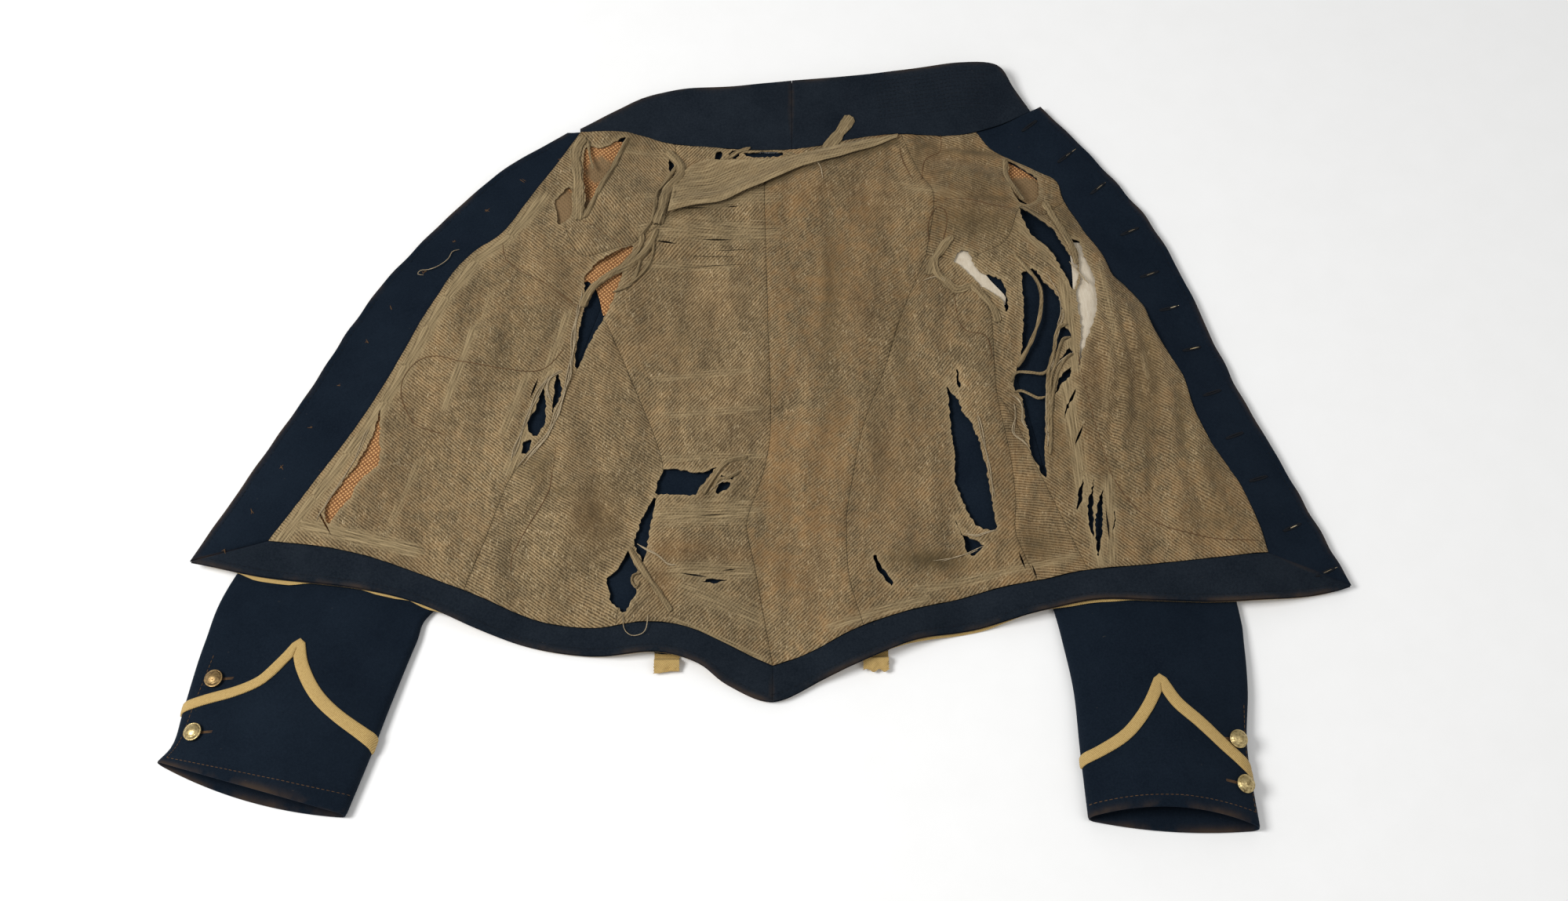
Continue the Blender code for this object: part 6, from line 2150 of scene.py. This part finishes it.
def build_buttonholes(draw):
    """The worked buttonholes of the left facing, some with painted daylight in them as a pale thread, some with a dull
    thread in them.
    """
    holes, daylight, dull = Lofts(), Lofts(), Lofts()
    long, wide, light = BUTTONHOLE
    normals = side_normals(EDGE_LEFT)
    turn = np.linspace(0, 2 * math.pi, HOLE_POINTS)
    for number, spot in enumerate(BUTTONHOLES):
        place, _ = place_on(EDGE_LEFT, np.array(spot, float))
        way = normals[round(place)]
        side = np.array([-way[1], way[0]])
        ring = spot + np.outer(long / 2 * np.cos(turn), way) + np.outer(wide / 2 * np.sin(turn), side)
        holes.thread(ring, HOLE_THREAD, -0.2)
        start = spot + way * draw.uniform(-4, 2)
        shares = np.linspace(0, light * draw.uniform(0.6, 1.3), 5)[:, None]
        if number in OPEN_BUTTONHOLES:
            daylight.thread(start + shares * way, LIGHT_THREAD, 0.1)
        if number in DULL_BUTTONHOLES:
            dull.thread(start + 1.6 * shares * way, DULL_THREAD)
    holes.piece("buttonholes", DARK_THREAD, "wool", "facing_left", facing_top)
    daylight.piece("buttonhole_daylight", DAYLIGHT_PAINT, "wool", "facing_left", facing_top)
    dull.piece("buttonhole_threads", THREAD, "wool", "facing_left", facing_top)


def build_button_threads(draw):
    """The threads of the front buttons, where they come through the right facing."""
    marks = Lofts()
    inset = EDGE_RIGHT + FRONT_BUTTON_INSET * side_normals(EDGE_RIGHT)
    for share in np.linspace(0.04, 0.96, FRONT_BUTTONS):
        spot = inset[round(share * (len(inset) - 1))]
        for _ in range(3):
            way = draw.uniform(-2.2, 2.2, 2)
            marks.thread(spot + np.linspace(-1, 1, 4)[:, None] * way + draw.uniform(-1, 1, 2), BUTTON_THREAD)
    marks.piece("button_threads", BROWN_THREAD, "wool", "facing_right", facing_top)


def build_quilting(collar_edge):
    """Rows of quilting at the collar's left end."""
    rows = Lofts()
    first, step, count, start, end = QUILTING
    inward = -side_normals(collar_edge)
    kept = (collar_edge[:, 0] > start) & (collar_edge[:, 0] < end)
    for number in range(count):
        line = (collar_edge + (first + number * step) * inward)[kept]
        rows.dashes(line[: len(line) - number // 3], -0.15)
    rows.piece("collar_quilting", DARK_THREAD, "wool", "collar_facing_left", collar_top)


def build_cuff_stitches(side, sleeve):
    """The brown topstitching of a cuff, the edge of its vent, and the worked holes beside its buttons."""
    inset, high = VENT[side]
    vent = inset - sleeve.half_round(CUFF_STITCH_UP)
    edge = sleeve.half_round(CUFF_STITCH_UP) - 6.0
    long, apart = CUFF_STITCH
    lines = [(CUFF_STITCH_UP, CUFF_STITCH_UP, offset, offset + long) for offset in np.arange(vent, edge, apart)]
    long, apart = VENT_STITCH
    lines += [(up, up + long, vent, vent) for up in np.arange(CUFF_STITCH_UP, high, apart)]
    for up, button_inset in CUFF_BUTTONS[side]:
        start = button_inset - sleeve.half_round(up) + 7.0
        lines += [(up + shift, up + shift + 0.6, start, start + CUFF_BUTTONHOLE) for shift in (-0.8, 0.0, 0.8)]
    tubes = Lofts()
    for up0, up1, offset0, offset1 in lines:
        places = zip(np.linspace(up0, up1, 4), np.linspace(offset0, offset1, 4))
        spots = np.array([sleeve.on_top(up, offset, 0.1) for up, offset in places])
        tubes.thread(spots[:, :2], CUFF_THREAD, spots[:, 2] - 0.2)
    tubes.piece(f"cuff_stitches_{side}", BROWN_THREAD, "wool", f"sleeve_top_{side}",
                lambda bases: np.zeros(len(bases)))


def set_stage():
    """A plain pale floor, soft studio light, and the camera at the photo's angle."""
    scene = bpy.context.scene
    mesh = bpy.data.meshes.new("floor")
    corners = [(x * FLOOR_REACH, y * FLOOR_REACH, -FLOOR_DROP) for x, y in ((-1, -1), (1, -1), (1, 1), (-1, 1))]
    mesh.from_pydata(corners, [], [[0, 1, 2, 3]])
    look = Look("floor_paper", 0.9, 0.0, 0.1)
    paper = look.mix(look.noise(30.0, 4.0), PAPER_DARK, PAPER_LIGHT)
    look.tree.links.new(paper, look.shader.inputs["Base Color"])
    mesh.materials.append(look.material)
    floor = bpy.data.objects.new("floor", mesh)
    scene.collection.objects.link(floor)
    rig.stage(floor)
    world = bpy.data.worlds.new("studio")
    world.use_nodes = True
    background = world.node_tree.nodes["Background"]
    background.inputs["Color"].default_value = (1, 1, 1, 1)
    background.inputs["Strength"].default_value = WORLD_LIGHT
    scene.world = world
    for name, spot, size, power in LIGHTS:
        light = bpy.data.lights.new(name, "AREA")
        light.energy, light.size = power, size
        lamp = bpy.data.objects.new(name, light)
        lamp.location = spot
        lamp.rotation_euler = (-Vector(spot)).to_track_quat("-Z", "Y").to_euler()
        scene.collection.objects.link(lamp)
    lens = bpy.data.cameras.new("camera")
    lens.sensor_fit, lens.sensor_width = "HORIZONTAL", SENSOR
    lens.lens = SENSOR * FOCAL_PIXELS / IMAGE_SIZE[0]
    camera = bpy.data.objects.new("camera", lens)
    tilt = math.radians(CAMERA_TILT)
    camera.location = Vector(SHIFT) + CAMERA_DISTANCE * Vector((0, -math.cos(tilt), math.sin(tilt)))
    camera.rotation_euler = (math.pi / 2 - tilt, 0, 0)
    scene.collection.objects.link(camera)
    scene.camera = camera
    scene.view_settings.view_transform = "Standard"


def main():
    """Builds the stage and every piece of the jacket, and declares its sheets."""
    set_stage()
    build_shell()
    facing_right, facing_left, hem_edge = build_facings()
    collar_edge = build_collar()
    build_lining(lining_outlines(facing_right, facing_left, hem_edge))
    build_inner_layers()
    sleeves = {side: build_sleeve(side) for side in SLEEVES}
    build_front_buttons()
    for side in BOLSTERS:
        build_bolster(side)
    build_edge_braid()
    build_neck_flap()
    build_loose_threads()
    build_stitches(collar_edge, sleeves)
    declare_sheets()


main()
VISUAL_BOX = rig.bounds()
with open("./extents.json", "w") as sizes:
    json.dump({"cad": [list(map(float, corner)) for corner in CAD_BOX],
               "visual": [list(map(float, corner)) for corner in VISUAL_BOX]}, sizes)
